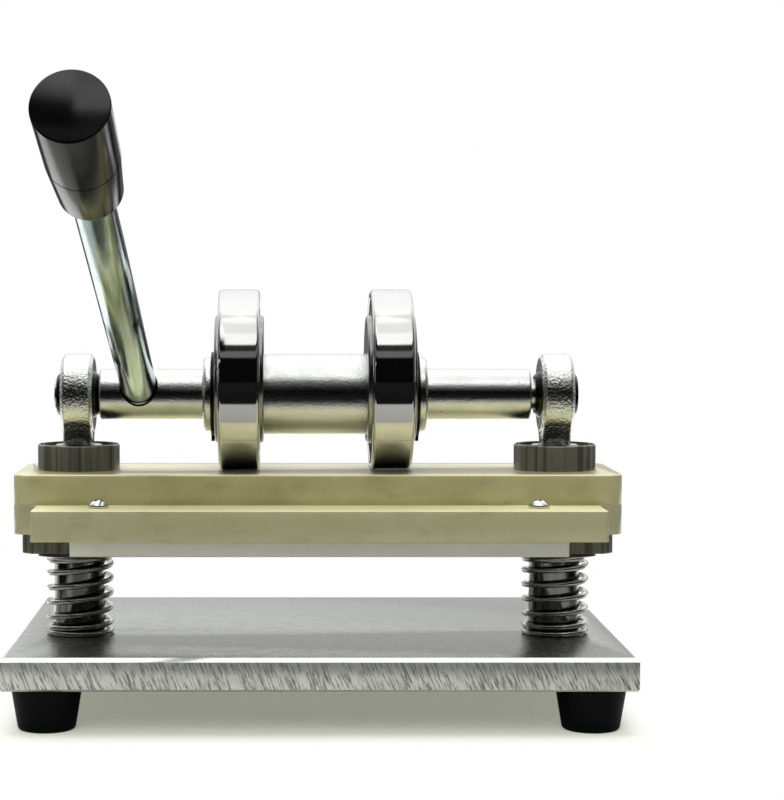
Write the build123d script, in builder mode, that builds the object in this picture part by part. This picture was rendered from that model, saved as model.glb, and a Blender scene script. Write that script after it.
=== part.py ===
"""Hand-cranked leather belt embossing machine, for a bench top.

A chromed crank shaft carries two ball-bearing rollers on eccentric discs. When the arm is
swung over, the rollers push a guided platen down on to the work table. Two springs lift it.

All sizes are millimetres. +Z is up, X runs along the crank shaft, and the arm rests on the
-Y side. The origin is on the work table's top face, midway between the two guide posts.
"""
from build123d import *
from math import cos, pi, sin, sqrt
import os

os.makedirs("parts", exist_ok=True)

# ---------------------------------------------------------------- driving dimensions
# Table
table_length = 236.0
table_front = -61.0
table_rear = 101.5
table_thick = 12.5
table_chamfer = 1.5
foot_height = 16.7
foot_top_dia = 27.0
foot_bottom_dia = 21.5
foot_x = 102.2
foot_inset = 16.0

# Guide posts, with a rod end screwed into the top of each
post_x = 93.7
post_dia = 20.0
post_top = 74.8
post_seat_depth = 6.0
rod_end_thread = 12.0
rod_end_head_dia = 32.0
rod_end_head_width = 12.4
rod_end_ball_dia = 22.2
rod_end_ball_width = 16.6

# Return springs
wire_dia = 2.15
spring_mean_dia = 24.3
spring_height = 31.7
closed_gap = 0.58
bottom_closed_turns = 1.0
top_closed_turns = 0.75
open_turns = 4.75
spring_start = {"left": pi, "right": 0.8 * pi}
washer_dia = 37.0
washer_thick = 2.0

# Flanged linear bearings that guide the platen
flange_size = 41.0
flange_corner_dia = 53.0
flange_thick = 8.4
sleeve_dia = 32.0
sleeve_length = 41.3
sleeve_wall = 2.2
flange_hole_circle = 43.0

# Platen: an upper plate on a wider carrier plate, with the pressing plate screwed below
upper_length = 233.2
upper_depth = 58.0
upper_corner = 6.0
carrier_length = 214.4
carrier_depth = 108.0
carrier_thick = 11.4
carrier_root_fillet = 3.2
pressing_length = 185.2
pressing_depth = 107.0
pressing_thick = 5.6
plate_screw_x = 83.0
plate_screw_y = 38.5

# Crank
axis_height = 94.4
throw = 6.0
end_float = -0.8
shaft_dia = 31.6
shaft_body_half = 43.7
collar_dia = 29.4
stub_dia = 20.0
stub_half = 84.4
shaft_half = 102.0
disc_dia = 50.0
disc_width = 19.0
roller_x = 29.6
roller_dia = 70.4
roller_width = 16.0
ball_dia = 6.35
ball_count = 15

# Arm and grip
arm_x = -69.4
arm_dia = 14.0
arm_reach = 244.6
arm_lean = -1.55
arm_rise = 22.8
grip_length = 58.0
grip_end_dia = 24.2
grip_seam_dia = 23.8
grip_seam_from_end = 33.3
grip_start_dia = 21.0

# Gaps
running_gap = 0.03
seat_gap = 0.05
roller_gap = 0.12

# ---------------------------------------------------------------- derived places
washer_bottom = spring_height
flange_bottom = washer_bottom + washer_thick
carrier_bottom = flange_bottom + flange_thick
carrier_top = carrier_bottom + carrier_thick
upper_top = axis_height + throw - roller_dia / 2 - roller_gap
pressing_bottom = carrier_bottom - pressing_thick
table_middle = (table_front + table_rear) / 2
foot_y_front = table_front + foot_inset
foot_y_rear = table_rear - foot_inset
disc_axis_height = axis_height + throw
circlip_x = roller_x + disc_width / 2 + 0.2
circlip_thick = 1.4
sides = (("left", -1), ("right", 1))

shaft_plane = Plane(origin=(end_float, 0, axis_height), x_dir=(0, 1, 0), z_dir=(1, 0, 0))
disc_plane = Plane(origin=(end_float, 0, disc_axis_height), x_dir=(0, 1, 0), z_dir=(1, 0, 0))
shaft_axis = Axis((0, 0, axis_height), (1, 0, 0))
disc_axis = Axis((0, 0, disc_axis_height), (1, 0, 0))

lean = arm_lean * pi / 180
rise = arm_rise * pi / 180
arm_direction = Vector(sin(lean), -cos(lean) * cos(rise), cos(lean) * sin(rise))
arm_foot = Vector(arm_x, 0, axis_height)
arm_plane = Plane(origin=arm_foot, x_dir=(1, 0, 0), z_dir=arm_direction)
arm_axis = Axis(arm_foot, arm_direction)
arm_section = Plane(origin=arm_foot, x_dir=arm_direction, z_dir=arm_direction.cross(Vector(1, 0, 0)))


def save(piece, name):
    """Label one finished piece and write its STEP file."""
    piece.label = name
    export_step(piece, f"parts/{name}.step")


def socket_screw(thread, length, head_dia, head_height, key):
    """Hexagon socket screw that hangs from its head, thread towards +Z, head face at Z = 0."""
    with BuildPart() as screw:
        Cylinder(head_dia / 2, head_height, align=(Align.CENTER, Align.CENTER, Align.MIN))
        with Locations((0, 0, head_height)):
            Cylinder(thread / 2, length, align=(Align.CENTER, Align.CENTER, Align.MIN))
        with BuildSketch(Plane.XY):
            RegularPolygon(key / 2, 6, major_radius=False)
        extrude(amount=head_height * 0.6, mode=Mode.SUBTRACT)
        chamfer(screw.edges().sort_by(Axis.Z)[-1], length=0.5)
    return screw.part


# ---------------------------------------------------------------- table and feet
foot_places = [(x, y) for x in (-foot_x, foot_x) for y in (foot_y_front, foot_y_rear)]
post_places = [(-post_x, 0), (post_x, 0)]
foot_screw_dia = 6.0
post_screw_dia = 8.0
post_screw_head = 16.0
post_screw_sink = 4.4

with BuildPart() as base_plate:
    with BuildSketch(Plane.XY):
        with Locations((0, table_middle)):
            Rectangle(table_length, table_rear - table_front)
    extrude(amount=-table_thick)
    chamfer(base_plate.faces().sort_by(Axis.Z)[-1].edges(), length=table_chamfer)
    chamfer(base_plate.faces().sort_by(Axis.Z)[0].edges(), length=0.8)
    with BuildSketch(Plane.XY):
        with Locations(*post_places):
            Circle(post_dia / 2 + seat_gap)
    extrude(amount=-post_seat_depth, mode=Mode.SUBTRACT)
    with Locations(Plane.XY.offset(-table_thick)):
        with Locations(*post_places):
            Cylinder(post_screw_dia / 2 + seat_gap, 2 * table_thick, mode=Mode.SUBTRACT)
            Cone(post_screw_head / 2 + 0.1, post_screw_dia / 2 + 0.1, post_screw_sink,
                 align=(Align.CENTER, Align.CENTER, Align.MIN), mode=Mode.SUBTRACT)
        with Locations(*foot_places):
            Cylinder(foot_screw_dia / 2 + seat_gap, 20.0, mode=Mode.SUBTRACT)
save(base_plate.part, "base_plate")

foot_recess_dia = 13.0
foot_web = 5.0
for row, foot_y in (("front", foot_y_front), ("rear", foot_y_rear)):
    for side, sign in sides:
        with BuildPart() as foot:
            with BuildSketch(Plane.XZ):
                with BuildLine():
                    Polyline(
                        (foot_screw_dia / 2 + 0.2, 0),
                        (foot_top_dia / 2, 0),
                        (foot_top_dia / 2 - 0.3, -1.4),
                        (foot_bottom_dia / 2 + 0.3, -foot_height + 1.2),
                        (foot_bottom_dia / 2 - 0.8, -foot_height),
                        (foot_recess_dia / 2 + 0.6, -foot_height),
                        (foot_recess_dia / 2, -foot_height + 1.0),
                        (foot_recess_dia / 2, -foot_web),
                        (foot_screw_dia / 2 + 0.2, -foot_web),
                        close=True,
                    )
                make_face()
            revolve(axis=Axis.Z)
        placed = foot.part.moved(Location((sign * foot_x, foot_y, -table_thick)))
        save(placed, f"foot_{row}_{side}")

foot_screw_head = 11.0
foot_screw_head_height = 3.6
foot_screw_length = foot_web + 10.0
with BuildPart() as foot_screws:
    with Locations(Plane.XY.offset(-table_thick - foot_web - foot_screw_head_height)):
        with Locations(*foot_places):
            add(socket_screw(foot_screw_dia, foot_screw_length, foot_screw_head,
                             foot_screw_head_height, 4.0))
save(foot_screws.part, "foot_screws")

# ---------------------------------------------------------------- guide posts
post_bore_depth = 24.0
screw_into_post = 18.0
for side, sign in sides:
    with BuildPart() as guide_post:
        with BuildSketch(Plane.XY.offset(-post_seat_depth)):
            with Locations((sign * post_x, 0)):
                Circle(post_dia / 2)
        extrude(amount=post_top + post_seat_depth)
        chamfer(guide_post.edges().sort_by(Axis.Z)[-1], length=1.2)
        with BuildSketch(Plane.XY.offset(post_top)):
            with Locations((sign * post_x, 0)):
                Circle(rod_end_thread / 2 + seat_gap)
        extrude(amount=-post_bore_depth, mode=Mode.SUBTRACT)
        with BuildSketch(Plane.XY.offset(-post_seat_depth)):
            with Locations((sign * post_x, 0)):
                Circle(post_screw_dia / 2 + seat_gap)
        extrude(amount=screw_into_post + 2.0, mode=Mode.SUBTRACT)
    save(guide_post.part, f"guide_post_{side}")

with BuildPart() as post_screw:
    Cone(post_screw_head / 2, post_screw_dia / 2, post_screw_sink,
         align=(Align.CENTER, Align.CENTER, Align.MIN))
    Cylinder(post_screw_dia / 2, table_thick - post_seat_depth + screw_into_post,
             align=(Align.CENTER, Align.CENTER, Align.MIN))
    with BuildSketch(Plane.XY):
        RegularPolygon(2.5, 6, major_radius=False)
    extrude(amount=3.0, mode=Mode.SUBTRACT)
with BuildPart() as post_screws:
    with Locations(Plane.XY.offset(-table_thick)):
        with Locations(*post_places):
            add(post_screw.part)
save(post_screws.part, "post_screws")

# ---------------------------------------------------------------- rod ends
head_radius = rod_end_head_dia / 2
head_half = rod_end_head_width / 2
head_bevel = 1.3
face_drop = 3.4
seat_radius = rod_end_ball_dia / 2 + running_gap
shank_depth = 20.0
seat_mouth = sqrt(seat_radius ** 2 - head_half ** 2)
ball_face_radius = sqrt((rod_end_ball_dia / 2) ** 2 - (rod_end_ball_width / 2) ** 2)
journal_dia = rod_end_thread

for side, sign in sides:
    middle = sign * post_x
    with BuildPart() as rod_end:
        with BuildSketch(Plane.XZ):
            with BuildLine():
                Polyline(
                    (middle - head_half, axis_height + seat_mouth),
                    (middle - head_half, axis_height + head_radius - face_drop),
                    (middle - head_half + head_bevel, axis_height + head_radius),
                    (middle + head_half - head_bevel, axis_height + head_radius),
                    (middle + head_half, axis_height + head_radius - face_drop),
                    (middle + head_half, axis_height + seat_mouth),
                    close=True,
                )
            make_face()
        revolve(axis=shaft_axis)
        with BuildSketch(Plane.XY.offset(post_top - shank_depth)):
            with Locations((middle, 0)):
                Circle(rod_end_thread / 2)
        extrude(amount=shank_depth)
        with BuildSketch(Plane.XY.offset(post_top)):
            with Locations((middle, 0)):
                Circle(rod_end_thread / 2 - 0.2)
        with BuildSketch(Plane.XY.offset(axis_height - head_radius * 0.72)):
            with Locations((middle, 0)):
                RectangleRounded(rod_end_head_width, 22.0, 2.0)
        loft()
        with Locations((middle, 0, axis_height)):
            Sphere(seat_radius, mode=Mode.SUBTRACT)
    save(rod_end.part, f"rod_end_{side}")

    with BuildPart() as rod_end_ball:
        with Locations((middle, 0, axis_height)):
            Sphere(rod_end_ball_dia / 2)
            Box(rod_end_ball_width, rod_end_ball_dia, rod_end_ball_dia, mode=Mode.INTERSECT)
            Cylinder(journal_dia / 2 + 0.02, rod_end_ball_width, rotation=(0, 90, 0),
                     mode=Mode.SUBTRACT)
    save(rod_end_ball.part, f"rod_end_ball_{side}")


# ---------------------------------------------------------------- return springs
def spring_height_at(turn):
    """Centre-line height of the wire after a number of turns from the bottom."""
    closed_pitch = wire_dia + closed_gap
    closed_rise = (bottom_closed_turns + top_closed_turns) * closed_pitch
    open_pitch = (spring_height - wire_dia - closed_rise) / open_turns
    height = wire_dia / 2 + min(turn, bottom_closed_turns) * closed_pitch
    height += min(max(turn - bottom_closed_turns, 0), open_turns) * open_pitch
    height += max(turn - bottom_closed_turns - open_turns, 0) * closed_pitch
    return height


def spring_point(turn, start_angle, middle):
    """Point on the centre line: a circle about the post while the height grows with the turn."""
    angle = start_angle + 2 * pi * turn
    radius = spring_mean_dia / 2
    return Vector(middle + radius * cos(angle), radius * sin(angle), spring_height_at(turn))


def spring_tangent(turn, start_angle):
    """Unit direction of the centre line, its rise taken a little to each side of the turn."""
    angle = start_angle + 2 * pi * turn
    step = 0.125
    around = 2 * pi * spring_mean_dia / 2 * 2 * step
    climb = spring_height_at(turn + step) - spring_height_at(turn - step)
    return Vector(-sin(angle) * around, cos(angle) * around, climb).normalized()


def biarc_joint(start, start_dir, end, end_dir):
    """Meeting point of two arcs of equal tangent length that join two directed points."""
    chord = end - start
    both = start_dir + end_dir
    a = 2 * (start_dir.dot(end_dir) - 1)
    b = -2 * chord.dot(both)
    c = chord.dot(chord)
    reach = (-b - sqrt(b * b - 4 * a * c)) / (2 * a)
    return (start + start_dir * reach + end - end_dir * reach) * 0.5, reach


spring_turns = bottom_closed_turns + open_turns + top_closed_turns
half_turns = round(spring_turns * 2)
for side, sign in sides:
    start_angle = spring_start[side]
    with BuildPart() as return_spring:
        with BuildLine() as wire_line:
            for half_turn in range(half_turns):
                here = half_turn / 2
                there = (half_turn + 1) / 2
                p0 = spring_point(here, start_angle, sign * post_x)
                p1 = spring_point(there, start_angle, sign * post_x)
                t0 = spring_tangent(here, start_angle)
                t1 = spring_tangent(there, start_angle)
                joint, reach = biarc_joint(p0, t0, p1, t1)
                turn_in = (p1 - t1 * reach) - joint
                TangentArc(p0, joint, tangent=t0)
                TangentArc(joint, p1, tangent=turn_in.normalized())
        first = spring_point(0, start_angle, sign * post_x)
        first_dir = spring_tangent(0, start_angle)
        with BuildSketch(Plane(origin=first, z_dir=first_dir)):
            Circle(wire_dia / 2)
        sweep(path=wire_line.wires()[0])
    save(return_spring.part, f"return_spring_{side}")
    samples = [wire_line.wires()[0] @ (i / 600) for i in range(601)]
    apart = round(600 / spring_turns * 0.5)
    nearest = min(
        (samples[i] - samples[j]).length
        for i in range(601)
        for j in range(i + apart, 601)
    )
    print(f"return_spring_{side}: least gap to itself {nearest - wire_dia:.2f} mm")

# ---------------------------------------------------------------- guide bearings
hole_offset = flange_hole_circle / 2 * cos(pi / 4)
flange_holes = [(x, y) for x in (-hole_offset, hole_offset) for y in (-hole_offset, hole_offset)]
flange_screw_dia = 4.0
flange_head_dia = 7.0
flange_head_height = 4.0
flange_screw_length = 12.0
retainer_bore = post_dia / 2 + running_gap
shell_bore = sleeve_dia / 2 - sleeve_wall
seal_recess = 1.0

for side, sign in sides:
    middle = sign * post_x
    with BuildPart() as guide_bearing:
        with BuildSketch(Plane.XY.offset(flange_bottom)):
            with Locations((middle, 0)):
                Rectangle(flange_size, flange_size)
                Circle(flange_corner_dia / 2, mode=Mode.INTERSECT)
        extrude(amount=flange_thick)
        chamfer(guide_bearing.faces().sort_by(Axis.Z)[0].edges(), length=0.4)
        with BuildSketch(Plane.XY.offset(flange_bottom)):
            with Locations((middle, 0)):
                Circle(sleeve_dia / 2)
        extrude(amount=sleeve_length)
        chamfer(guide_bearing.edges().sort_by(Axis.Z)[-1], length=0.7)
        with BuildSketch(Plane.XY.offset(flange_bottom)):
            with Locations((middle, 0)):
                Circle(shell_bore)
        extrude(amount=sleeve_length, mode=Mode.SUBTRACT)
        with Locations(Plane.XY.offset(flange_bottom)):
            with Locations(*[(middle + x, y) for x, y in flange_holes]):
                Cylinder(flange_screw_dia / 2 + 0.2, 2 * flange_thick, mode=Mode.SUBTRACT)
                Cylinder(flange_head_dia / 2 + 0.4, 2 * (flange_head_height + 0.4),
                         mode=Mode.SUBTRACT)
    save(guide_bearing.part, f"guide_bearing_{side}")

    with BuildPart() as bearing_retainer:
        with BuildSketch(Plane.XY.offset(flange_bottom + 0.5)):
            with Locations((middle, 0)):
                Circle(shell_bore)
                Circle(retainer_bore, mode=Mode.SUBTRACT)
        extrude(amount=sleeve_length - 0.5 - seal_recess)
        top_rims = bearing_retainer.faces().sort_by(Axis.Z)[-1].edges()
        chamfer(top_rims.filter_by(GeomType.CIRCLE).sort_by(SortBy.RADIUS)[0], length=0.8)
    save(bearing_retainer.part, f"bearing_retainer_{side}")

    with BuildPart() as spring_washer:
        with BuildSketch(Plane.XY.offset(washer_bottom)):
            with Locations((middle, 0)):
                Circle(washer_dia / 2)
                Circle(post_dia / 2 + 0.5, mode=Mode.SUBTRACT)
        extrude(amount=washer_thick)
        rims = spring_washer.edges().filter_by(GeomType.CIRCLE).sort_by(SortBy.RADIUS)[-2:]
        chamfer(rims, length=0.3)
    save(spring_washer.part, f"spring_washer_{side}")

all_flange_holes = [(px + x, y) for px, _ in post_places for x, y in flange_holes]
with BuildPart() as flange_screws:
    with Locations(Plane.XY.offset(flange_bottom + 0.2)):
        with Locations(*all_flange_holes):
            add(socket_screw(flange_screw_dia, flange_screw_length, flange_head_dia,
                             flange_head_height, 3.0))
save(flange_screws.part, "flange_screws")

# ---------------------------------------------------------------- platen plates
clamp_screw_dia = 6.0
clamp_places = [(x, y) for x in (-55.0, 55.0) for y in (-15.0, 15.0)]
clamp_head_dia = 10.0
clamp_head_height = 6.0
clamp_thread_length = 13.0
clamp_bore_depth = 8.5
plate_screw_dia = 4.0
plate_screw_places = [(x, y) for x in (-plate_screw_x, plate_screw_x)
                      for y in (-plate_screw_y, plate_screw_y)]

with BuildPart() as upper_plate:
    with BuildSketch(Plane.XY.offset(carrier_top)):
        RectangleRounded(upper_length, upper_depth, upper_corner)
        with Locations(*post_places):
            Circle(sleeve_dia / 2 + seat_gap, mode=Mode.SUBTRACT)
    extrude(amount=upper_top - carrier_top)
    chamfer(upper_plate.faces().sort_by(Axis.Z)[-1].outer_wire().edges(), length=0.5)
    with BuildSketch(Plane.XY.offset(carrier_top)):
        with Locations(*clamp_places):
            Circle(clamp_screw_dia / 2 + seat_gap)
    extrude(amount=clamp_bore_depth, mode=Mode.SUBTRACT)
save(upper_plate.part, "upper_plate")

with BuildPart() as carrier_plate:
    with BuildSketch(Plane.XY.offset(carrier_bottom)) as carrier_outline:
        RectangleRounded(upper_length, upper_depth, upper_corner)
        Rectangle(carrier_length, carrier_depth)
        inner_corners = [
            v for v in carrier_outline.vertices()
            if abs(abs(v.Y) - upper_depth / 2) < 0.01 and abs(abs(v.X) - carrier_length / 2) < 0.01
        ]
        fillet(inner_corners, radius=carrier_root_fillet)
        outer_corners = [v for v in carrier_outline.vertices() if abs(v.Y) > carrier_depth / 2 - 0.01]
        fillet(outer_corners, radius=1.2)
        with Locations(*post_places):
            Circle(sleeve_dia / 2 + seat_gap, mode=Mode.SUBTRACT)
    extrude(amount=carrier_thick)
    with Locations(Plane.XY.offset(carrier_bottom)):
        with Locations(*all_flange_holes):
            Cylinder(flange_screw_dia / 2 + seat_gap, 2 * 10.0, mode=Mode.SUBTRACT)
        with Locations(*clamp_places):
            Cylinder(clamp_screw_dia / 2 + 0.3, 4 * carrier_thick, mode=Mode.SUBTRACT)
            Cylinder(clamp_head_dia / 2 + 0.5, 2 * (clamp_head_height + 0.5), mode=Mode.SUBTRACT)
        with Locations(*plate_screw_places):
            Cylinder(plate_screw_dia / 2 + 0.2, 4 * carrier_thick, mode=Mode.SUBTRACT)
save(carrier_plate.part, "carrier_plate")

with BuildPart() as pressing_plate:
    with BuildSketch(Plane.XY.offset(pressing_bottom)):
        Rectangle(pressing_length, pressing_depth)
        with Locations(*post_places):
            Rectangle(flange_size + 2.0, flange_size + 2.0, mode=Mode.SUBTRACT)
        with Locations(*plate_screw_places):
            Circle(plate_screw_dia / 2 + seat_gap, mode=Mode.SUBTRACT)
    extrude(amount=pressing_thick)
    chamfer(pressing_plate.faces().sort_by(Axis.Z)[0].outer_wire().edges(), length=0.4)
save(pressing_plate.part, "pressing_plate")

with BuildPart() as clamp_screws:
    with Locations(Plane.XY.offset(carrier_bottom + 0.2)):
        with Locations(*clamp_places):
            add(socket_screw(clamp_screw_dia, clamp_thread_length, clamp_head_dia,
                             clamp_head_height, 5.0))
save(clamp_screws.part, "clamp_screws")

pan_head_dia = 8.0
pan_head_height = 3.1
pan_rim_height = 1.0
pan_recess_length = 4.6
pan_recess_width = 0.9
pan_recess_depth = 1.6
pan_screw_length = carrier_thick + pressing_thick - 0.6
with BuildPart() as pan_screw:
    with BuildSketch(Plane.XZ):
        with BuildLine():
            Line((0, -pan_screw_length), (0, pan_head_height))
            ThreePointArc((0, pan_head_height), (2.9, 2.6), (pan_head_dia / 2, pan_rim_height))
            Polyline((pan_head_dia / 2, pan_rim_height), (pan_head_dia / 2, 0), (plate_screw_dia / 2, 0),
                     (plate_screw_dia / 2, -pan_screw_length), (0, -pan_screw_length))
        make_face()
    revolve(axis=Axis.Z)
    with BuildSketch(Plane.XY.offset(pan_head_height)):
        Rectangle(pan_recess_length, pan_recess_width)
        Rectangle(pan_recess_width, pan_recess_length)
    extrude(amount=-pan_recess_depth, mode=Mode.SUBTRACT)
with BuildPart() as plate_screws:
    with Locations(Plane.XY.offset(carrier_top)):
        with Locations(*plate_screw_places):
            add(pan_screw.part)
save(plate_screws.part, "plate_screws")

# ---------------------------------------------------------------- crank shaft
groove_depth = 1.6
body_chamfer = 1.2
stub_chamfer = 1.5
journal_chamfer = 0.6
key_width = 5.0
key_height = 5.0
arm_spigot_dia = 10.0
arm_spigot_depth = 6.0
arm_shoulder = 8.0

with BuildPart() as crank_shaft:
    with BuildSketch(Plane.XZ):
        with BuildLine():
            profile = [(0, 0), (0, shaft_dia / 2)]
            profile += [(circlip_x, shaft_dia / 2), (circlip_x, shaft_dia / 2 - groove_depth)]
            profile += [(circlip_x + circlip_thick, shaft_dia / 2 - groove_depth)]
            profile += [(circlip_x + circlip_thick, collar_dia / 2)]
            profile += [(shaft_body_half - body_chamfer, collar_dia / 2)]
            profile += [(shaft_body_half, collar_dia / 2 - body_chamfer)]
            profile += [(shaft_body_half, stub_dia / 2), (stub_half - stub_chamfer, stub_dia / 2)]
            profile += [(stub_half, stub_dia / 2 - stub_chamfer), (stub_half, journal_dia / 2)]
            profile += [(shaft_half - journal_chamfer, journal_dia / 2)]
            profile += [(shaft_half, journal_dia / 2 - journal_chamfer), (shaft_half, 0)]
            Polyline(*[(end_float + x, axis_height + r) for x, r in profile], close=True)
        make_face()
    revolve(axis=shaft_axis)
    mirror(about=Plane.YZ.offset(end_float))
    with BuildSketch(arm_plane.offset(-arm_spigot_depth)):
        Circle(arm_spigot_dia / 2 + seat_gap)
    extrude(amount=stub_dia, mode=Mode.SUBTRACT)
    with BuildSketch(arm_plane.offset(arm_shoulder)):
        Circle(arm_dia / 2 + seat_gap)
    extrude(amount=stub_dia / 2, mode=Mode.SUBTRACT)
    for side, sign in sides:
        with BuildSketch(shaft_plane.offset(sign * roller_x - disc_width / 2)):
            with Locations((0, shaft_dia / 2)):
                Rectangle(key_width, key_height)
        extrude(amount=disc_width, mode=Mode.SUBTRACT)
save(crank_shaft.part, "crank_shaft")

with BuildPart() as drive_keys:
    for side, sign in sides:
        with BuildSketch(shaft_plane.offset(sign * roller_x - disc_width / 2 + 0.5)):
            with Locations((0, shaft_dia / 2)):
                Rectangle(key_width - 0.1, key_height - 0.1)
        extrude(amount=disc_width - 1.0)
save(drive_keys.part, "drive_keys")

# ---------------------------------------------------------------- eccentric discs and rollers
pitch_radius = (disc_dia / 2 + roller_dia / 2) / 2
inner_ring_radius = pitch_radius - 1.9
outer_ring_radius = pitch_radius + 1.9
groove_radius = ball_dia / 2 + running_gap
seal_inset = 0.4
seal_thick = 0.8
clip_width = 1.2
clip_proud = 0.9
clip_slot = 1.2
lug_radius = 1.9
lug_drop = 0.6
lug_hole_radius = 0.7

for side, sign in sides:
    middle = sign * roller_x
    with BuildPart() as eccentric_disc:
        with BuildSketch(disc_plane.offset(middle - disc_width / 2)):
            Circle(disc_dia / 2)
            with Locations((0, -throw)):
                Circle(shaft_dia / 2 + seat_gap, mode=Mode.SUBTRACT)
            with Locations((0, shaft_dia / 2 - throw)):
                Rectangle(key_width, key_height, mode=Mode.SUBTRACT)
        extrude(amount=disc_width)
        rims = eccentric_disc.edges().filter_by(GeomType.CIRCLE).sort_by(SortBy.RADIUS)[-2:]
        chamfer(rims, length=0.8)
    save(eccentric_disc.part, f"eccentric_disc_{side}")

    with BuildPart() as roller_inner:
        with BuildSketch(disc_plane.offset(middle - roller_width / 2)):
            Circle(inner_ring_radius)
            Circle(disc_dia / 2 + 0.02, mode=Mode.SUBTRACT)
        extrude(amount=roller_width)
        with BuildSketch(Plane.XZ):
            with Locations((end_float + middle, disc_axis_height + pitch_radius)):
                Circle(groove_radius)
        revolve(axis=disc_axis, mode=Mode.SUBTRACT)
    save(roller_inner.part, f"roller_inner_ring_{side}")

    with BuildPart() as roller_tyre:
        with BuildSketch(disc_plane.offset(middle - roller_width / 2)):
            Circle(roller_dia / 2)
            Circle(outer_ring_radius, mode=Mode.SUBTRACT)
        extrude(amount=roller_width)
        rims = roller_tyre.edges().filter_by(GeomType.CIRCLE).sort_by(SortBy.RADIUS)[-2:]
        chamfer(rims, length=1.1)
        with BuildSketch(Plane.XZ):
            with Locations((end_float + middle, disc_axis_height + pitch_radius)):
                Circle(groove_radius)
        revolve(axis=disc_axis, mode=Mode.SUBTRACT)
    save(roller_tyre.part, f"roller_{side}")

    with BuildPart() as roller_seals:
        for offset in (-roller_width / 2 + seal_inset, roller_width / 2 - seal_inset - seal_thick):
            with BuildSketch(disc_plane.offset(middle + offset)):
                Circle(outer_ring_radius)
                Circle(inner_ring_radius + running_gap, mode=Mode.SUBTRACT)
            extrude(amount=seal_thick)
    save(roller_seals.part, f"roller_seals_{side}")

    with BuildPart() as roller_balls:
        with Locations(disc_plane.offset(middle)):
            with PolarLocations(pitch_radius, ball_count):
                Sphere(ball_dia / 2)
    save(roller_balls.part, f"roller_balls_{side}")

    with BuildPart() as circlip:
        clip_plane = shaft_plane.offset(sign * (circlip_x + circlip_thick / 2) - clip_width / 2)
        lug_places = [(y, -shaft_dia / 2 - lug_drop) for y in (-lug_radius, lug_radius)]
        with BuildSketch(clip_plane):
            Circle(shaft_dia / 2 + clip_proud)
            with Locations(*lug_places):
                Circle(lug_radius)
            Circle(shaft_dia / 2 - groove_depth + seat_gap, mode=Mode.SUBTRACT)
            with Locations((0, -shaft_dia / 2)):
                Rectangle(clip_slot, 4 * lug_radius, mode=Mode.SUBTRACT)
            with Locations(*lug_places):
                Circle(lug_hole_radius, mode=Mode.SUBTRACT)
        extrude(amount=clip_width)
    save(circlip.part, f"circlip_{side}")

# ---------------------------------------------------------------- arm and grip
grip_start = arm_reach - grip_length
arm_end = arm_reach - 6.0
arm_chamfer = 1.2
grip_edge = 0.8

with BuildPart() as handle_arm:
    with BuildSketch(arm_plane.offset(-arm_spigot_depth)):
        Circle(arm_spigot_dia / 2)
    extrude(amount=arm_spigot_depth + arm_shoulder)
    with BuildSketch(arm_plane.offset(arm_shoulder)):
        Circle(arm_dia / 2)
    extrude(amount=arm_end - arm_shoulder)
    rims = handle_arm.edges().filter_by(GeomType.CIRCLE).sort_by(SortBy.RADIUS)[-2:]
    chamfer(rims, length=arm_chamfer)
save(handle_arm.part, "handle_arm")

with BuildPart() as hand_grip:
    with BuildSketch(arm_section):
        with BuildLine():
            Polyline(
                (grip_start, arm_dia / 2 + seat_gap),
                (grip_start, grip_start_dia / 2 - grip_edge),
                (grip_start + grip_edge, grip_start_dia / 2),
                (arm_reach - grip_seam_from_end, grip_seam_dia / 2),
                (arm_reach - grip_edge, grip_end_dia / 2),
                (arm_reach, grip_end_dia / 2 - grip_edge),
                (arm_reach, 0),
                (arm_end + grip_edge, 0),
                (arm_end + grip_edge, arm_dia / 2 + seat_gap),
                close=True,
            )
        make_face()
    revolve(axis=arm_axis)
save(hand_grip.part, "hand_grip")
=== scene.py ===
"""Looks of a hand-cranked leather belt embossing machine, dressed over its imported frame.

Everything is in metres in the frame's own axes: +Z up, X along the crank shaft, the arm on
the -Y side, the origin on the work table's top face between the two guide posts.
"""

import logging
from dataclasses import dataclass, field, replace
from enum import Enum
from math import pi, radians, sin
from typing import Any, ClassVar, Iterable, Optional, Sequence

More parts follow.
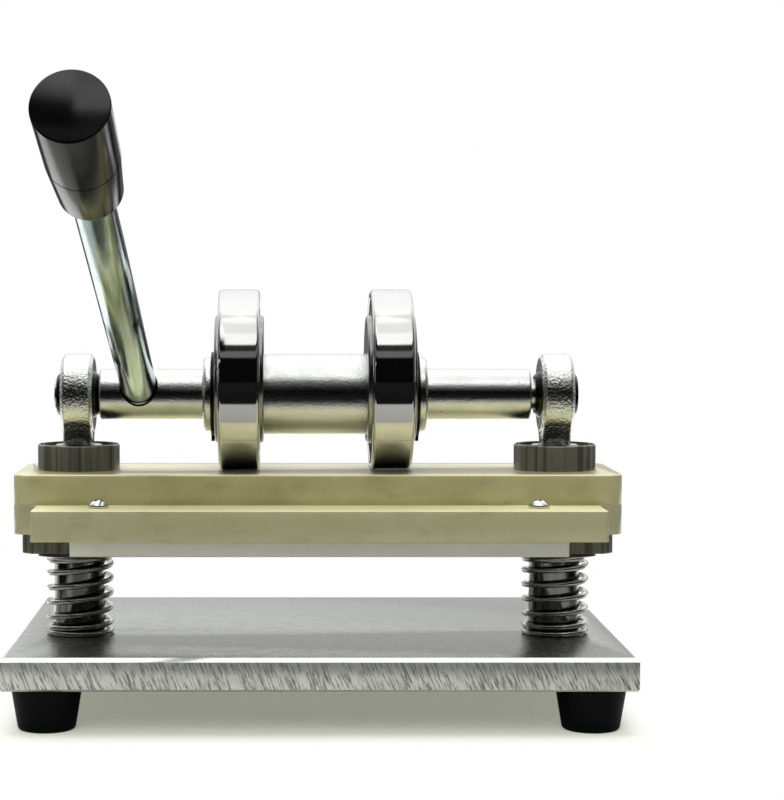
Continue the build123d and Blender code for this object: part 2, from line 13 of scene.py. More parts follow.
import bmesh
import bpy
import numpy as np
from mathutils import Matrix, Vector


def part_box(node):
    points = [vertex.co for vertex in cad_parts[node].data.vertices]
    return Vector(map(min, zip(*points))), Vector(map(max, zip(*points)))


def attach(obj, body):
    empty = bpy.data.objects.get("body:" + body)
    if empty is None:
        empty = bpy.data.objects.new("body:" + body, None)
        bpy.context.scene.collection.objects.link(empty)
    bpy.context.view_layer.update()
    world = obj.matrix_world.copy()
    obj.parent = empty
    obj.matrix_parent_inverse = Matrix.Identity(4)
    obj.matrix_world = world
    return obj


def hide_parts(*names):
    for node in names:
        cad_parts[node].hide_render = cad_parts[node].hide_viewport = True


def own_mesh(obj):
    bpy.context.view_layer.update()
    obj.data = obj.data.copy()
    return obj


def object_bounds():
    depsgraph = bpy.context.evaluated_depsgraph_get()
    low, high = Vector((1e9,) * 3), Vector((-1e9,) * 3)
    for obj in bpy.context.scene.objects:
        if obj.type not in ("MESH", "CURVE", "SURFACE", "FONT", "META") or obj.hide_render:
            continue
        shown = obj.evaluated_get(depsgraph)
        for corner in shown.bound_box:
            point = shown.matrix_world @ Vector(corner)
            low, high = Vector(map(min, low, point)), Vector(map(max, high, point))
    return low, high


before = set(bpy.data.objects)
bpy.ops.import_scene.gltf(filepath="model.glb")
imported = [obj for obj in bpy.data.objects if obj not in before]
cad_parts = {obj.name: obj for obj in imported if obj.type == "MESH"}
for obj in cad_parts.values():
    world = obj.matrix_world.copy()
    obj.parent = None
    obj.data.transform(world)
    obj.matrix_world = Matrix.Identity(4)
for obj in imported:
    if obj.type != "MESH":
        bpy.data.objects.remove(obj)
CAD_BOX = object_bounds()

logging.basicConfig(level=logging.INFO, format="%(levelname)s %(message)s")
log = logging.getLogger("embossing_machine")

MM = 0.001
FULL_TURN = 2 * pi
X_AXIS = np.array([1.0, 0.0, 0.0])
Z_AXIS = np.array([0.0, 0.0, 1.0])
SIDES = ("left", "right")


# ---------------------------------------------------------------- places read from the frame
@dataclass(frozen=True)
class Span:
    """Lowest and highest corner of a part of the frame, in metres."""

    low: np.ndarray
    high: np.ndarray

    @classmethod
    def of(cls, node: str) -> "Span":
        """Returns the span of one node at rest."""
        low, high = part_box(node)
        return cls(np.array(low), np.array(high))

    @property
    def centre(self) -> np.ndarray:
        """The middle of the span."""
        return (self.low + self.high) / 2

    @property
    def size(self) -> np.ndarray:
        """The three edge lengths."""
        return self.high - self.low


# ---------------------------------------------------------------- surfaces as arrays
def unit(vectors: np.ndarray) -> np.ndarray:
    """Scales vectors to length one.

    Args:
        vectors: an array whose last axis holds the coordinates.

    Returns:
        The same directions, each divided by its own length; zero vectors stay zero.
    """
    length = np.linalg.norm(vectors, axis=-1, keepdims=True)
    return vectors / np.where(length > 1e-12, length, 1.0)


def rounded(points: Sequence[tuple], radii: Sequence[float], closed: bool = False,
            steps: int = 6) -> np.ndarray:
    """Rounds the corners of a flat outline.

    At each corner the two unit directions a and b towards its neighbours enclose an angle w.
    The arc's centre lies on their bisector at radius / sin(w / 2), and the arc is swept from
    one tangent point to the other by spherical interpolation about that centre.

    Args:
        points: the corners, two coordinates each.
        radii: the radius at each corner, zero for a sharp one.
        closed: whether the last corner joins the first.
        steps: points on each arc.

    Returns:
        An array of outline points, two coordinates each.
    """
    here = np.asarray(points, float)
    radius = np.asarray(radii, float)[:, None]
    if not closed:
        radius[[0, -1]] = 0.0
    a = unit(np.roll(here, 1, axis=0) - here)
    b = unit(np.roll(here, -1, axis=0) - here)
    half = np.arccos(np.clip((a * b).sum(1, keepdims=True), -1, 1)) / 2
    centre = here + unit(a + b) * radius / np.maximum(np.sin(half), 1e-9)
    tangent = radius / np.maximum(np.tan(half), 1e-9)
    start = here + a * tangent - centre
    end = here + b * tangent - centre
    sweep = np.maximum(pi - 2 * half, 1e-6)[:, None, :]
    share = np.linspace(0, 1, steps)[None, :, None]
    arc = np.sin((1 - share) * sweep) * start[:, None, :] + np.sin(share * sweep) * end[:, None, :]
    arc = centre[:, None, :] + arc / np.sin(sweep)
    arc = np.where(radius[:, None, :] > 0, arc, here[:, None, :])
    flat = arc.reshape(-1, 2)
    keep = np.ones(len(flat), bool)
    keep[1:] = np.linalg.norm(np.diff(flat, axis=0), axis=1) > 1e-9
    return flat[keep]


def cross_directions(axis: np.ndarray) -> tuple[np.ndarray, np.ndarray]:
    """Finds two unit directions square to an axis and to each other.

    The first is the cross product of the axis with Z, or with X for a nearly upright axis.

    Args:
        axis: unit direction of the axis.

    Returns:
        The two directions.
    """
    helper = Z_AXIS if abs(axis[2]) < 0.9 else X_AXIS
    first = unit(np.cross(axis, helper))
    return first, np.cross(axis, first)


def revolve(profile: np.ndarray, origin: np.ndarray, axis: np.ndarray, columns: int) -> np.ndarray:
    """Turns a profile about an axis: point = origin + along * axis + radius * (cos, sin).

    Args:
        profile: rows of (distance along the axis, radius), in metres.
        origin: the point that distance zero stands for.
        axis: unit direction of the axis.
        columns: points around.

    Returns:
        A grid of points, rows along the profile and columns around the axis.
    """
    angle = np.linspace(0, FULL_TURN, columns, endpoint=False)
    u, v = cross_directions(axis)
    ring = np.cos(angle)[:, None] * u + np.sin(angle)[:, None] * v
    along = profile[:, 0][:, None, None] * axis
    return origin + along + profile[:, 1][:, None, None] * ring


def carry(path: np.ndarray, first: np.ndarray, second: np.ndarray, section: np.ndarray) -> np.ndarray:
    """Carries a flat section along a path: point = path + a * first + b * second.

    Args:
        path: points of the path.
        first: unit direction of the section's first coordinate at each path point.
        second: unit direction of its second coordinate at each path point.
        section: rows of the section's two coordinates, or one such array for each path point.

    Returns:
        A grid of points, rows along the path and columns around the section.
    """
    shape = section if section.ndim == 3 else section[None, :, :]
    return path[:, None, :] + shape[..., :1] * first[:, None, :] + shape[..., 1:] * second[:, None, :]


def circle(radius: float, columns: int) -> np.ndarray:
    """Returns points of a circle about zero: radius * (cos, sin) of evenly spaced angles."""
    angle = np.linspace(0, FULL_TURN, columns, endpoint=False)
    return radius * np.stack([np.cos(angle), np.sin(angle)], axis=1)


def smooth_step(value: np.ndarray) -> np.ndarray:
    """Returns 3 t^2 - 2 t^3 with t clipped to the range zero to one."""
    t = np.clip(value, 0, 1)
    return t * t * (3 - 2 * t)


@dataclass(frozen=True)
class Grid:
    """One surface patch: a grid of points, and whether its rows and columns join up."""

    points: np.ndarray
    rows_join: bool = False
    columns_join: bool = True

    def faces(self) -> np.ndarray:
        """Returns the quads as point numbers: each cell takes its four corners in turn."""
        rows, columns = self.points.shape[:2]
        row = np.arange(rows if self.rows_join else rows - 1)[:, None]
        column = np.arange(columns if self.columns_join else columns - 1)[None, :]
        next_row = (row + 1) % rows
        next_column = (column + 1) % columns
        corners = [row * columns + column, row * columns + next_column,
                   next_row * columns + next_column, next_row * columns + column]
        return np.stack(np.broadcast_arrays(*corners), axis=-1).reshape(-1, 4)


def make_piece(name: str, grids: Iterable[Grid], sharp: float = 32.0) -> bpy.types.Object:
    """Makes one object of closed surface patches, seams and poles merged, faces outward.

    Args:
        name: the piece's name.
        grids: its surface patches.
        sharp: edges that turn by more than this many degrees stay sharp.

    Returns:
        The new object, at the origin, with its place in its mesh.
    """
    points, quads, count = [], [], 0
    for grid in grids:
        points.append(grid.points.reshape(-1, 3))
        quads.append(grid.faces() + count)
        count += len(points[-1])
    mesh = bpy.data.meshes.new(name)
    mesh.from_pydata(np.concatenate(points).tolist(), [], np.concatenate(quads).tolist())
    work = bmesh.new()
    work.from_mesh(mesh)
    bmesh.ops.remove_doubles(work, verts=work.verts, dist=1e-7)
    bmesh.ops.dissolve_degenerate(work, edges=work.edges, dist=1e-8)
    bmesh.ops.recalc_face_normals(work, faces=work.faces)
    work.to_mesh(mesh)
    work.free()
    mesh.shade_smooth()
    mesh.set_sharp_from_angle(angle=radians(sharp))
    piece = bpy.data.objects.new(name, mesh)
    bpy.context.scene.collection.objects.link(piece)
    return piece


def copy_of_node(name: str, node: str, bevel: float) -> bpy.types.Object:
    """Copies a node's solid, merges its triangles into flat faces and eases its edges.

    Args:
        name: the new piece's name.
        node: the node that is copied.
        bevel: width of the eased edges, in metres.

    Returns:
        The new object, which stands at the origin like the node.
    """
    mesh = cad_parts[node].data.copy()
    mesh.name = name
    mesh.materials.clear()
    work = bmesh.new()
    work.from_mesh(mesh)
    bmesh.ops.remove_doubles(work, verts=work.verts, dist=1e-6)
    bmesh.ops.dissolve_limit(work, angle_limit=radians(1.0), verts=work.verts, edges=work.edges)
    work.to_mesh(mesh)
    work.free()
    for layer in list(mesh.uv_layers):
        mesh.uv_layers.remove(layer)
    piece = bpy.data.objects.new(name, mesh)
    bpy.context.scene.collection.objects.link(piece)
    mesh.shade_smooth()
    ease = piece.modifiers.new("eased_edges", "BEVEL")
    ease.width = bevel
    ease.segments = 2
    ease.limit_method = "ANGLE"
    ease.angle_limit = radians(40)
    ease.harden_normals = True
    return piece


# ---------------------------------------------------------------- finishes
def linear(code: str) -> tuple[float, float, float, float]:
    """Turns an sRGB hex colour into linear light.

    A channel c becomes c / 12.92 up to 0.04045, and ((c + 0.055) / 1.055)^2.4 above it.

    Args:
        code: the colour, written #RRGGBB.

    Returns:
        The three linear channels and a full alpha.
    """
    parts = np.array([int(code[i:i + 2], 16) for i in (1, 3, 5)]) / 255
    light = np.where(parts <= 0.04045, parts / 12.92, ((parts + 0.055) / 1.055) ** 2.4)
    return (*light.tolist(), 1.0)


def grey(value: float) -> tuple[float, float, float, float]:
    """Returns an opaque neutral colour of that linear value."""
    return (value, value, value, 1.0)


def add_node(tree: bpy.types.NodeTree, kind: str, settings: Optional[dict[str, Any]] = None,
             inputs: Optional[dict[Any, Any]] = None) -> bpy.types.Node:
    """Adds one node with its settings, and fills its sockets with values or links.

    Args:
        tree: the node tree.
        kind: the node's type name.
        settings: the node's own properties.
        inputs: socket name or number, with a value or the output socket that feeds it.

    Returns:
        The new node.
    """
    node = tree.nodes.new(kind)
    for name, value in (settings or {}).items():
        setattr(node, name, value)
    for name, value in (inputs or {}).items():
        if isinstance(value, bpy.types.NodeSocket):
            tree.links.new(value, node.inputs[name])
        else:
            node.inputs[name].default_value = value
    return node


@dataclass(frozen=True)
class Lay:
    """Marks that a tool leaves: their spacing, stretch along each axis, direction and depth."""

    spacing_mm: float
    stretch: tuple[float, float, float] = (1.0, 1.0, 1.0)
    turn: tuple[float, float, float] = (0.0, 0.0, 0.0)
    depth_mm: float = 0.01
    detail: float = 3.0

    def noise(self, tree: bpy.types.NodeTree, coords: bpy.types.NodeSocket) -> bpy.types.NodeSocket:
        """Adds noise that is drawn out along the marks.

        Args:
            tree: the material's node tree.
            coords: the socket of the object coordinates.

        Returns:
            The socket of the noise's value, about 0.5 on average.
        """
        placed = add_node(tree, "ShaderNodeMapping", {"vector_type": "TEXTURE"}, {
            "Vector": coords, "Rotation": self.turn, "Scale": tuple(1 / share for share in self.stretch)})
        return add_node(tree, "ShaderNodeTexNoise", inputs={
            "Vector": placed.outputs["Vector"], "Scale": 1 / (self.spacing_mm * MM),
            "Detail": self.detail, "Roughness": 0.55}).outputs["Fac"]


class Layer:
    """Another shade over a finish, laid on in the share that the layer's own nodes work out."""

    shade: str

    def share(self, tree: bpy.types.NodeTree, coords: bpy.types.NodeSocket) -> bpy.types.NodeSocket:
        """Adds the layer's nodes.

        Args:
            tree: the material's node tree.
            coords: the socket of the object coordinates.

        Returns:
            The socket of the layer's share, from zero to one.
        """
        raise NotImplementedError


@dataclass(frozen=True)
class Streaks(Layer):
    """A shade along a tool's marks: a smooth step of their noise, from the low limit to the high one."""

    marks: Lay
    shade: str
    low: float
    high: float

    def share(self, tree: bpy.types.NodeTree, coords: bpy.types.NodeSocket) -> bpy.types.NodeSocket:
        """Adds the streaks' noise and its smooth step, as Layer.share says."""
        return add_node(tree, "ShaderNodeMapRange", {"interpolation_type": "SMOOTHSTEP"}, {
            "Value": self.marks.noise(tree, coords), "From Min": self.low,
            "From Max": self.high}).outputs["Result"]


@dataclass(frozen=True)
class Zone(Layer):
    """A shade that comes in with height, by a smooth step from none to its greatest share."""

    low_mm: float
    high_mm: float
    shade: str
    most: float

    def share(self, tree: bpy.types.NodeTree, coords: bpy.types.NodeSocket) -> bpy.types.NodeSocket:
        """Adds the smooth step over the height, as Layer.share says."""
        height = add_node(tree, "ShaderNodeSeparateXYZ", inputs={0: coords}).outputs["Z"]
        return add_node(tree, "ShaderNodeMapRange", {"interpolation_type": "SMOOTHSTEP"}, {
            "Value": height, "From Min": self.low_mm * MM, "From Max": self.high_mm * MM,
            "To Max": self.most}).outputs["Result"]


@dataclass(frozen=True)
class Pits(Layer):
    """Small scattered pits: space is cut into cells, and a chosen part of them holds one each."""

    cell_mm: float
    chosen: float
    shade: str = "#3A3A38"
    core: float = 0.03
    rim: float = 0.08

    def share(self, tree: bpy.types.NodeTree, coords: bpy.types.NodeSocket) -> bpy.types.NodeSocket:
        """Adds the cells and the pits at their points, as Layer.share says.

        A pit is full within the core of its cell's point and gone at the rim, both in cell
        sizes. A cell holds a pit where its own random value is under the chosen part.
        """
        cells = add_node(tree, "ShaderNodeTexVoronoi", inputs={
            "Vector": coords, "Scale": 1 / (self.cell_mm * MM)})
        near = add_node(tree, "ShaderNodeMapRange", inputs={
            "Value": cells.outputs["Distance"], "From Min": self.core, "From Max": self.rim,
            "To Min": 1.0, "To Max": 0.0})
        lot = add_node(tree, "ShaderNodeSeparateColor", inputs={0: cells.outputs["Color"]})
        drawn = add_node(tree, "ShaderNodeMath", {"operation": "LESS_THAN"}, {
            0: lot.outputs[0], 1: self.chosen})
        return add_node(tree, "ShaderNodeMath", {"operation": "MULTIPLY"}, {
            0: near.outputs["Result"], 1: drawn.outputs[0]}).outputs[0]


@dataclass(frozen=True)
class PaintedRollerShade(Layer):
    """Painted shade of a pair of rollers on a plate: two dark bands along Y, centred under the shaft."""

    middle_mm: float
    spread_mm: float
    half_width_mm: float
    reach_mm: float
    shade: str = "#3A3828"

    def share(self, tree: bpy.types.NodeTree, coords: bpy.types.NodeSocket) -> bpy.types.NodeSocket:
        """Adds the two bands of painted shade, as Layer.share says.

        A point is in a band where its distance across from the pair's middle differs from the
        spread by less than the half width. Along the band the share falls by a smooth step,
        from full at half the reach to none at one and a half times the reach.
        """
        place = add_node(tree, "ShaderNodeSeparateXYZ", inputs={0: coords})
        offset = add_node(tree, "ShaderNodeMath", {"operation": "SUBTRACT"}, {
            0: place.outputs["X"], 1: self.middle_mm * MM})
        aside = add_node(tree, "ShaderNodeMath", {"operation": "ABSOLUTE"}, {0: offset.outputs[0]})
        inside = add_node(tree, "ShaderNodeMath", {"operation": "COMPARE"}, {
            0: aside.outputs[0], 1: self.spread_mm * MM, 2: self.half_width_mm * MM})
        along = add_node(tree, "ShaderNodeMath", {"operation": "ABSOLUTE"}, {0: place.outputs["Y"]})
        near = add_node(tree, "ShaderNodeMapRange", {"interpolation_type": "SMOOTHSTEP"}, {
            "Value": along.outputs[0], "From Min": 1.5 * self.reach_mm * MM,
            "From Max": 0.5 * self.reach_mm * MM})
        return add_node(tree, "ShaderNodeMath", {"operation": "MULTIPLY"}, {
            0: inside.outputs[0], 1: near.outputs["Result"]}).outputs[0]


@dataclass(frozen=True)
class Finish:
    """A surface finish: two shades that cloud into each other, layers, waviness and tool marks."""

    name: str
    shade: str
    stain: str
    metallic: float
    roughness: float
    roughness_spread: float = 0.06
    cloud_mm: float = 20.0
    lay: Optional[Lay] = None
    wave: Optional[Lay] = None
    layers: tuple[Layer, ...] = ()
    coat: float = 0.0
    coat_roughness: float = 0.1
    specular: float = 0.5
    stain_limits: ClassVar[tuple[float, float]] = (0.32, 0.72)
    haze_limits: ClassVar[tuple[float, float]] = (0.3, 0.7)
    least_roughness: ClassVar[float] = 0.02

    def colour(self, tree: bpy.types.NodeTree, coords: bpy.types.NodeSocket,
               cloud: bpy.types.NodeSocket) -> bpy.types.NodeSocket:
        """Mixes the shade with the stain by the cloud, and lays each layer over that in turn.

        Args:
            tree: the material's node tree.
            coords: the socket of the object coordinates.
            cloud: the socket of the cloud's value.

        Returns:
            The socket of the colour.
        """
        low, high = self.stain_limits
        stained = add_node(tree, "ShaderNodeMapRange", inputs={
            "Value": cloud, "From Min": low, "From Max": high})
        colour = add_node(tree, "ShaderNodeMix", {"data_type": "RGBA"}, {
            0: stained.outputs["Result"], 6: linear(self.shade), 7: linear(self.stain)}).outputs[2]
        for layer in self.layers:
            colour = add_node(tree, "ShaderNodeMix", {"data_type": "RGBA"}, {
                0: layer.share(tree, coords), 6: colour, 7: linear(layer.shade)}).outputs[2]
        return colour

    def normal(self, tree: bpy.types.NodeTree,
               coords: bpy.types.NodeSocket) -> Optional[bpy.types.NodeSocket]:
        """Adds the waviness and the tool marks as bumps, each on the one before it.

        Args:
            tree: the material's node tree.
            coords: the socket of the object coordinates.

        Returns:
            The socket of the bumped normal, or None for a finish with neither.
        """
        normal = None
        for marks in (self.wave, self.lay):
            if marks is None:
                continue
            links = {"Height": marks.noise(tree, coords), "Strength": 1.0, "Distance": marks.depth_mm * MM}
            if normal is not None:
                links["Normal"] = normal
            normal = add_node(tree, "ShaderNodeBump", inputs=links).outputs["Normal"]
        return normal

    def material(self) -> bpy.types.Material:
        """Builds the finish's nodes and returns the material."""
        made = bpy.data.materials.new(self.name)
        made.use_nodes = True
        tree = made.node_tree
        shader = tree.nodes["Principled BSDF"]
        shader.inputs["Metallic"].default_value = self.metallic
        shader.inputs["Coat Weight"].default_value = self.coat
        shader.inputs["Coat Roughness"].default_value = self.coat_roughness
        if self.metallic < 1:
            shader.inputs["Specular IOR Level"].default_value = self.specular

        coords = add_node(tree, "ShaderNodeTexCoord").outputs["Object"]
        cloud = add_node(tree, "ShaderNodeTexNoise", inputs={
            "Vector": coords, "Scale": 1 / (self.cloud_mm * MM), "Detail": 5.0,
            "Roughness": 0.6}).outputs["Fac"]
        low, high = self.haze_limits
        rough = add_node(tree, "ShaderNodeMapRange", inputs={
            "Value": cloud, "From Min": low, "From Max": high,
            "To Min": max(self.least_roughness, self.roughness - self.roughness_spread),
            "To Max": self.roughness + self.roughness_spread})
        tree.links.new(rough.outputs["Result"], shader.inputs["Roughness"])
        tree.links.new(self.colour(tree, coords, cloud), shader.inputs["Base Color"])
        normal = self.normal(tree, coords)
        if normal is not None:
            tree.links.new(normal, shader.inputs["Normal"])
        return made


# Lines that a tool leaves are mostly finer than 0.3 mm and wouldn't show in the picture, so each
# lay is drawn as coarse as it needs to show, and no deeper than the real lines look.

# Cold-drawn bar with bright bluish zinc over it: a clear mirror, gently wavy along its length.
# The marks' Z axis is turned onto the arm, which rises by these degrees towards the front.
ARM_RISE = 22.8
ARM_TURN = (radians(90 - ARM_RISE), 0.0, 0.0)
BRIGHT_ZINC_BAR = Finish(
    "bright_zinc_on_drawn_bar", "#C4D6D6", "#B0C0C0", 1.0, 0.14, 0.05, cloud_mm=14.0,
    lay=Lay(1.0, (1.0, 1.0, 0.04), ARM_TURN, 0.006), wave=Lay(6.0, (1.0, 1.0, 0.12), ARM_TURN, 0.12),
    layers=(Streaks(Lay(3.0, (1.0, 1.0, 0.08), ARM_TURN), "#8C9A96", 0.48, 0.74), Pits(9.0, 0.08)))
# Turned shaft with bright zinc: the reflection is crisp, its plating a little dimpled, with pits.
BRIGHT_ZINC_SHAFT = Finish(
    "bright_zinc_on_turned_shaft", "#DADCD9", "#CDD0CC", 1.0, 0.10, 0.04, cloud_mm=10.0,
    lay=Lay(0.6, depth_mm=0.11), wave=Lay(5.0, (0.5, 1.0, 1.0), depth_mm=0.05), layers=(Pits(6.0, 0.25),))
# Hardened and ground ball-bearing steel: a near mirror with very fine lines round the ring.
BEARING_STEEL = Finish(
    "ground_bearing_steel", "#CCCCCA", "#C5C5C3", 1.0, 0.06, 0.02, cloud_mm=16.0,
    lay=Lay(0.35, (1.0, 0.04, 0.04), depth_mm=0.0015))
# Hardened ball of a rod end: dark, with a soft shine.
BALL_STEEL = Finish(
    "dark_hardened_ball", "#3A3C39", "#2A2B29", 1.0, 0.20, 0.06, cloud_mm=4.0,
    lay=Lay(0.6, depth_mm=0.004))
# The keyed discs are turned steel, a little duller than the rings.
TURNED_DISC = Finish(
    "turned_disc_steel", "#9D9E9B", "#878885", 1.0, 0.24, 0.06, cloud_mm=9.0,
    lay=Lay(0.6, depth_mm=0.004))
# Yellow passivated milled plate, warm and a little green: its broad faces and eased edges are
# painted lighter than its sides as light from above, with bands of painted shade under the rollers.
GOLD_STREAKS = Streaks(Lay(7.0, (0.5, 1.0, 1.0)), "#B6B184", 0.50, 0.90)
GOLD_FACE = Finish(
    "gold_passivated_face_painted_light", "#C6C298", "#BEBA8E", 0.34, 0.36, 0.05, cloud_mm=30.0,
    lay=Lay(1.2, (0.05, 1.0, 1.0), depth_mm=0.006), wave=Lay(28.0, depth_mm=0.06),
    # painted shade: two dark bands where the rollers shade the plate
    layers=(GOLD_STREAKS, PaintedRollerShade(-0.8, 29.6, 8.0, 18.0)), coat=0.55, coat_roughness=0.09)
# The same passivated steel on the upper plate's sawn sides: more satin, and darker as the shaded side of
# the painted light on the faces.
GOLD_EDGE = replace(
    GOLD_FACE, name="gold_passivated_plate_edge", shade="#ADA97F", stain="#98946A", metallic=0.30,
    roughness=0.42, layers=(replace(GOLD_STREAKS, shade="#8D885D"),), coat=0.3)
# The carrier plate's ledges and broad faces, a lighter colour nearly free of film: painted light where
# light from above falls on them.
LIT_LEDGE_FACE = replace(
    GOLD_EDGE, name="gold_passivated_ledge_painted_light", shade="#D2CEA4", stain="#C9C59A", metallic=0.15,
    layers=(replace(GOLD_STREAKS, shade="#BEBA8F"),), coat=0.0)
# The carrier plate's sides: greyer, and darker still as painted shade.
SHADED_CARRIER_EDGE = replace(
    GOLD_EDGE, name="gold_passivated_carrier_edge_painted_shade", shade="#9D9A7B", stain="#96936F",
    layers=(replace(GOLD_STREAKS, shade="#87835F"),))
# Ground bare steel of the pressing plate: pale and satin, a little warm under the gold plates.
PRESSING_STEEL = Finish(
    "ground_pressing_steel", "#C6C6B8", "#B8B8AA", 0.55, 0.42, 0.06, cloud_mm=24.0,
    lay=Lay(1.2, (0.04, 1.0, 1.0), depth_mm=0.006))
# Ground mild steel of the table's top: satin grey, finely mottled, with small rubs.
TABLE_STEEL = Finish(
    "ground_mild_steel_table", "#9EA19C", "#949792", 0.92, 0.28, 0.03, cloud_mm=7.0,
    lay=Lay(1.2, (0.05, 1.0, 1.0), depth_mm=0.006), wave=Lay(3.0, depth_mm=0.006),
    layers=(Streaks(Lay(2.2, (0.2, 1.0, 1.0)), "#8F928D", 0.52, 0.82), Pits(18.0, 0.10, "#7C7F7B")))
# Band-sawn edge of the table: fine slanting tooth marks, its upper part painted darker as shade. The marks
# lean by these degrees from the upright.
SAWN_LEAN = -22
SAWN_TURN = (0.0, radians(SAWN_LEAN), 0.0)
SAWN_EDGE = Finish(
    "sawn_mild_steel_edge", "#DDDED7", "#C3C5BE", 0.55, 0.36, 0.08, cloud_mm=6.0,
    lay=Lay(0.6, (1.0, 1.0, 0.14), SAWN_TURN, 0.06, detail=4.0),
    layers=(Streaks(Lay(0.6, (1.0, 1.0, 0.12), SAWN_TURN, detail=4.0), "#6D706B", 0.43, 0.68),
            # painted shade: darker towards the top of the edge
            Zone(-8.0, -3.0, "#6E7270", 0.6)))
# Filed edge between the table's top and its sides: bare and smooth, its near-white colour partly a painted
# highlight.
FILED_EDGE = Finish(
    "filed_mild_steel_edge_painted_highlight", "#F2F2EE", "#E4E4E0", 0.9, 0.16, 0.05, cloud_mm=10.0,
    lay=Lay(0.8, (0.1, 1.0, 1.0), depth_mm=0.006))
# Hard-chromed guide rod: a clean mirror, its colour darkened and streaked upright as painted reflection of
# the dark room in front.
GUIDE_ROD = Finish(
    "hard_chromed_guide_rod", "#8C8D8B", "#7C7D7B", 1.0, 0.10, 0.03, cloud_mm=12.0,
    lay=Lay(0.4, (1.0, 1.0, 0.03), depth_mm=0.002),
    layers=(Streaks(Lay(3.0, (1.0, 1.0, 0.02)), "#5A5B59", 0.42, 0.62),))
# Hardened sleeve and flange of the guide bearing: oiled dark steel, ground along its length.
GUIDE_BEARING_STEEL = Finish(
    "oiled_guide_bearing_steel", "#86857A", "#78776B", 0.70, 0.32, 0.05, cloud_mm=10.0,
    lay=Lay(1.5, (1.0, 1.0, 0.02), depth_mm=0.015),
    layers=(Streaks(Lay(1.8, (1.0, 1.0, 0.01)), "#57574C", 0.42, 0.66),))
# Forged rod end in bright zinc: mirror patches broken by the wrinkled forging skin.
FORGED_ZINC = Finish(
    "zinc_plated_forging", "#E8EAE6", "#D4D7D2", 1.0, 0.13, 0.05, cloud_mm=6.0,
    wave=Lay(1.0, depth_mm=0.34))
# Patented and drawn spring wire: bright and clean, with fine lines along the wire.
SPRING_WIRE = Finish(
    "bright_drawn_spring_wire", "#C0C0BC", "#A8A8A4", 1.0, 0.07, 0.02, cloud_mm=5.0,
    lay=Lay(0.8, (1.0, 1.0, 3.0), depth_mm=0.003))
# Bright zinc on small pressed screws and washers: a small sharp glint on a light grey.
SCREW_ZINC = Finish(
    "bright_zinc_on_screws", "#EDEDEA", "#DCDCD8", 1.0, 0.12, 0.04, cloud_mm=4.0,
    lay=Lay(0.5, depth_mm=0.004))
# Blackened steel of circlips and socket screws: near black with a soft oil sheen.
BLACK_OXIDE = Finish(
    "black_oxide_steel", "#1E1E1E", "#282725", 1.0, 0.34, 0.06, cloud_mm=4.0,
    lay=Lay(0.5, depth_mm=0.004))
# Nitrile rubber of the seals: black, dull, a fine grain.
SEAL_RUBBER = Finish(
    "nitrile_seal_rubber", "#141414", "#1C1C1B", 0.0, 0.55, 0.08, cloud_mm=5.0,
    lay=Lay(0.4, depth_mm=0.01), specular=0.3)
# Moulded rubber of the feet: deep black, matt, with a slight bloom.
FOOT_RUBBER = Finish(
    "moulded_foot_rubber", "#020504", "#060908", 0.0, 0.45, 0.10, cloud_mm=12.0,
    lay=Lay(0.5, depth_mm=0.02), specular=0.10)
# Injection-moulded phenolic of the grip: black and glossy with a soft polish haze.
GRIP_PLASTIC = Finish(
    "black_moulded_grip", "#020202", "#040404", 0.0, 0.15, 0.04, cloud_mm=18.0,
    wave=Lay(16.0, depth_mm=0.05), lay=Lay(0.7, depth_mm=0.004))


class Slot(Enum):
    """Material slots of the frame's record, with the finish that dresses each."""

    TABLE = ("table_steel", TABLE_STEEL)
    SAWN = ("table_steel", SAWN_EDGE)
    FILED = ("table_steel", FILED_EDGE)
    FOOT = ("foot_rubber", FOOT_RUBBER)
    SCREW = ("zinc_screw", SCREW_ZINC)
    BLACK = ("black_oxide", BLACK_OXIDE)
    GOLD = ("gold_plate", GOLD_FACE)
    GOLD_EDGE = ("gold_plate", GOLD_EDGE)
    LEDGE = ("gold_plate", LIT_LEDGE_FACE)
    SHADED_CARRIER_EDGE = ("gold_plate", SHADED_CARRIER_EDGE)
    PRESSING = ("pressing_steel", PRESSING_STEEL)
    SHAFT = ("chrome_steel", BRIGHT_ZINC_SHAFT)
    ARM = ("chrome_steel", BRIGHT_ZINC_BAR)
    POST = ("post_steel", GUIDE_ROD)
    SPRING = ("spring_steel", SPRING_WIRE)
    ROD_END = ("rod_end_zinc", FORGED_ZINC)
    BEARING = ("bearing_steel", BEARING_STEEL)
    DISC = ("bearing_steel", TURNED_DISC)
    BALL = ("bearing_steel", BALL_STEEL)
    GUIDE = ("guide_bearing_steel", GUIDE_BEARING_STEEL)
    SEAL = ("seal_rubber", SEAL_RUBBER)
    GRIP = ("grip_plastic", GRIP_PLASTIC)

    @property
    def finish(self) -> Finish:
        """The finish of this slot."""
        return self.value[1]

    @property
    def record_name(self) -> str:
        """The slot's name in the frame's record."""
        return self.value[0]

    def material(self) -> bpy.types.Material:
        """Returns the slot's material, which is built the first time it is asked for."""
        return bpy.data.materials.get(self.finish.name) or self.finish.material()


def dress(piece: bpy.types.Object, slot: Slot, body: str,
          nodes: Sequence[str] = ()) -> bpy.types.Object:
    """Gives a new piece its finish, its body and the nodes that it stands for.

    Args:
        piece: the finished mesh object.
        slot: its material slot.
        body: the body that it rides on.
        nodes: the nodes that it replaces.

    Returns:
        The same piece.
    """
    piece.data.materials.clear()
    piece.data.materials.append(slot.material())
    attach(piece, body)
    if nodes:
        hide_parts(*nodes)
    log.info("piece %s on %s: %d faces", piece.name, body, len(piece.data.polygons))
    return piece


def dress_node(node: str, slot: Slot) -> None:
    """Gives a node that stays in view its finish.

    Args:
        node: the node's name.
        slot: its material slot.
    """
    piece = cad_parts[node]
    piece.data.materials.clear()
    piece.data.materials.append(slot.material())
    log.info("node %s: %s", node, slot.finish.name)


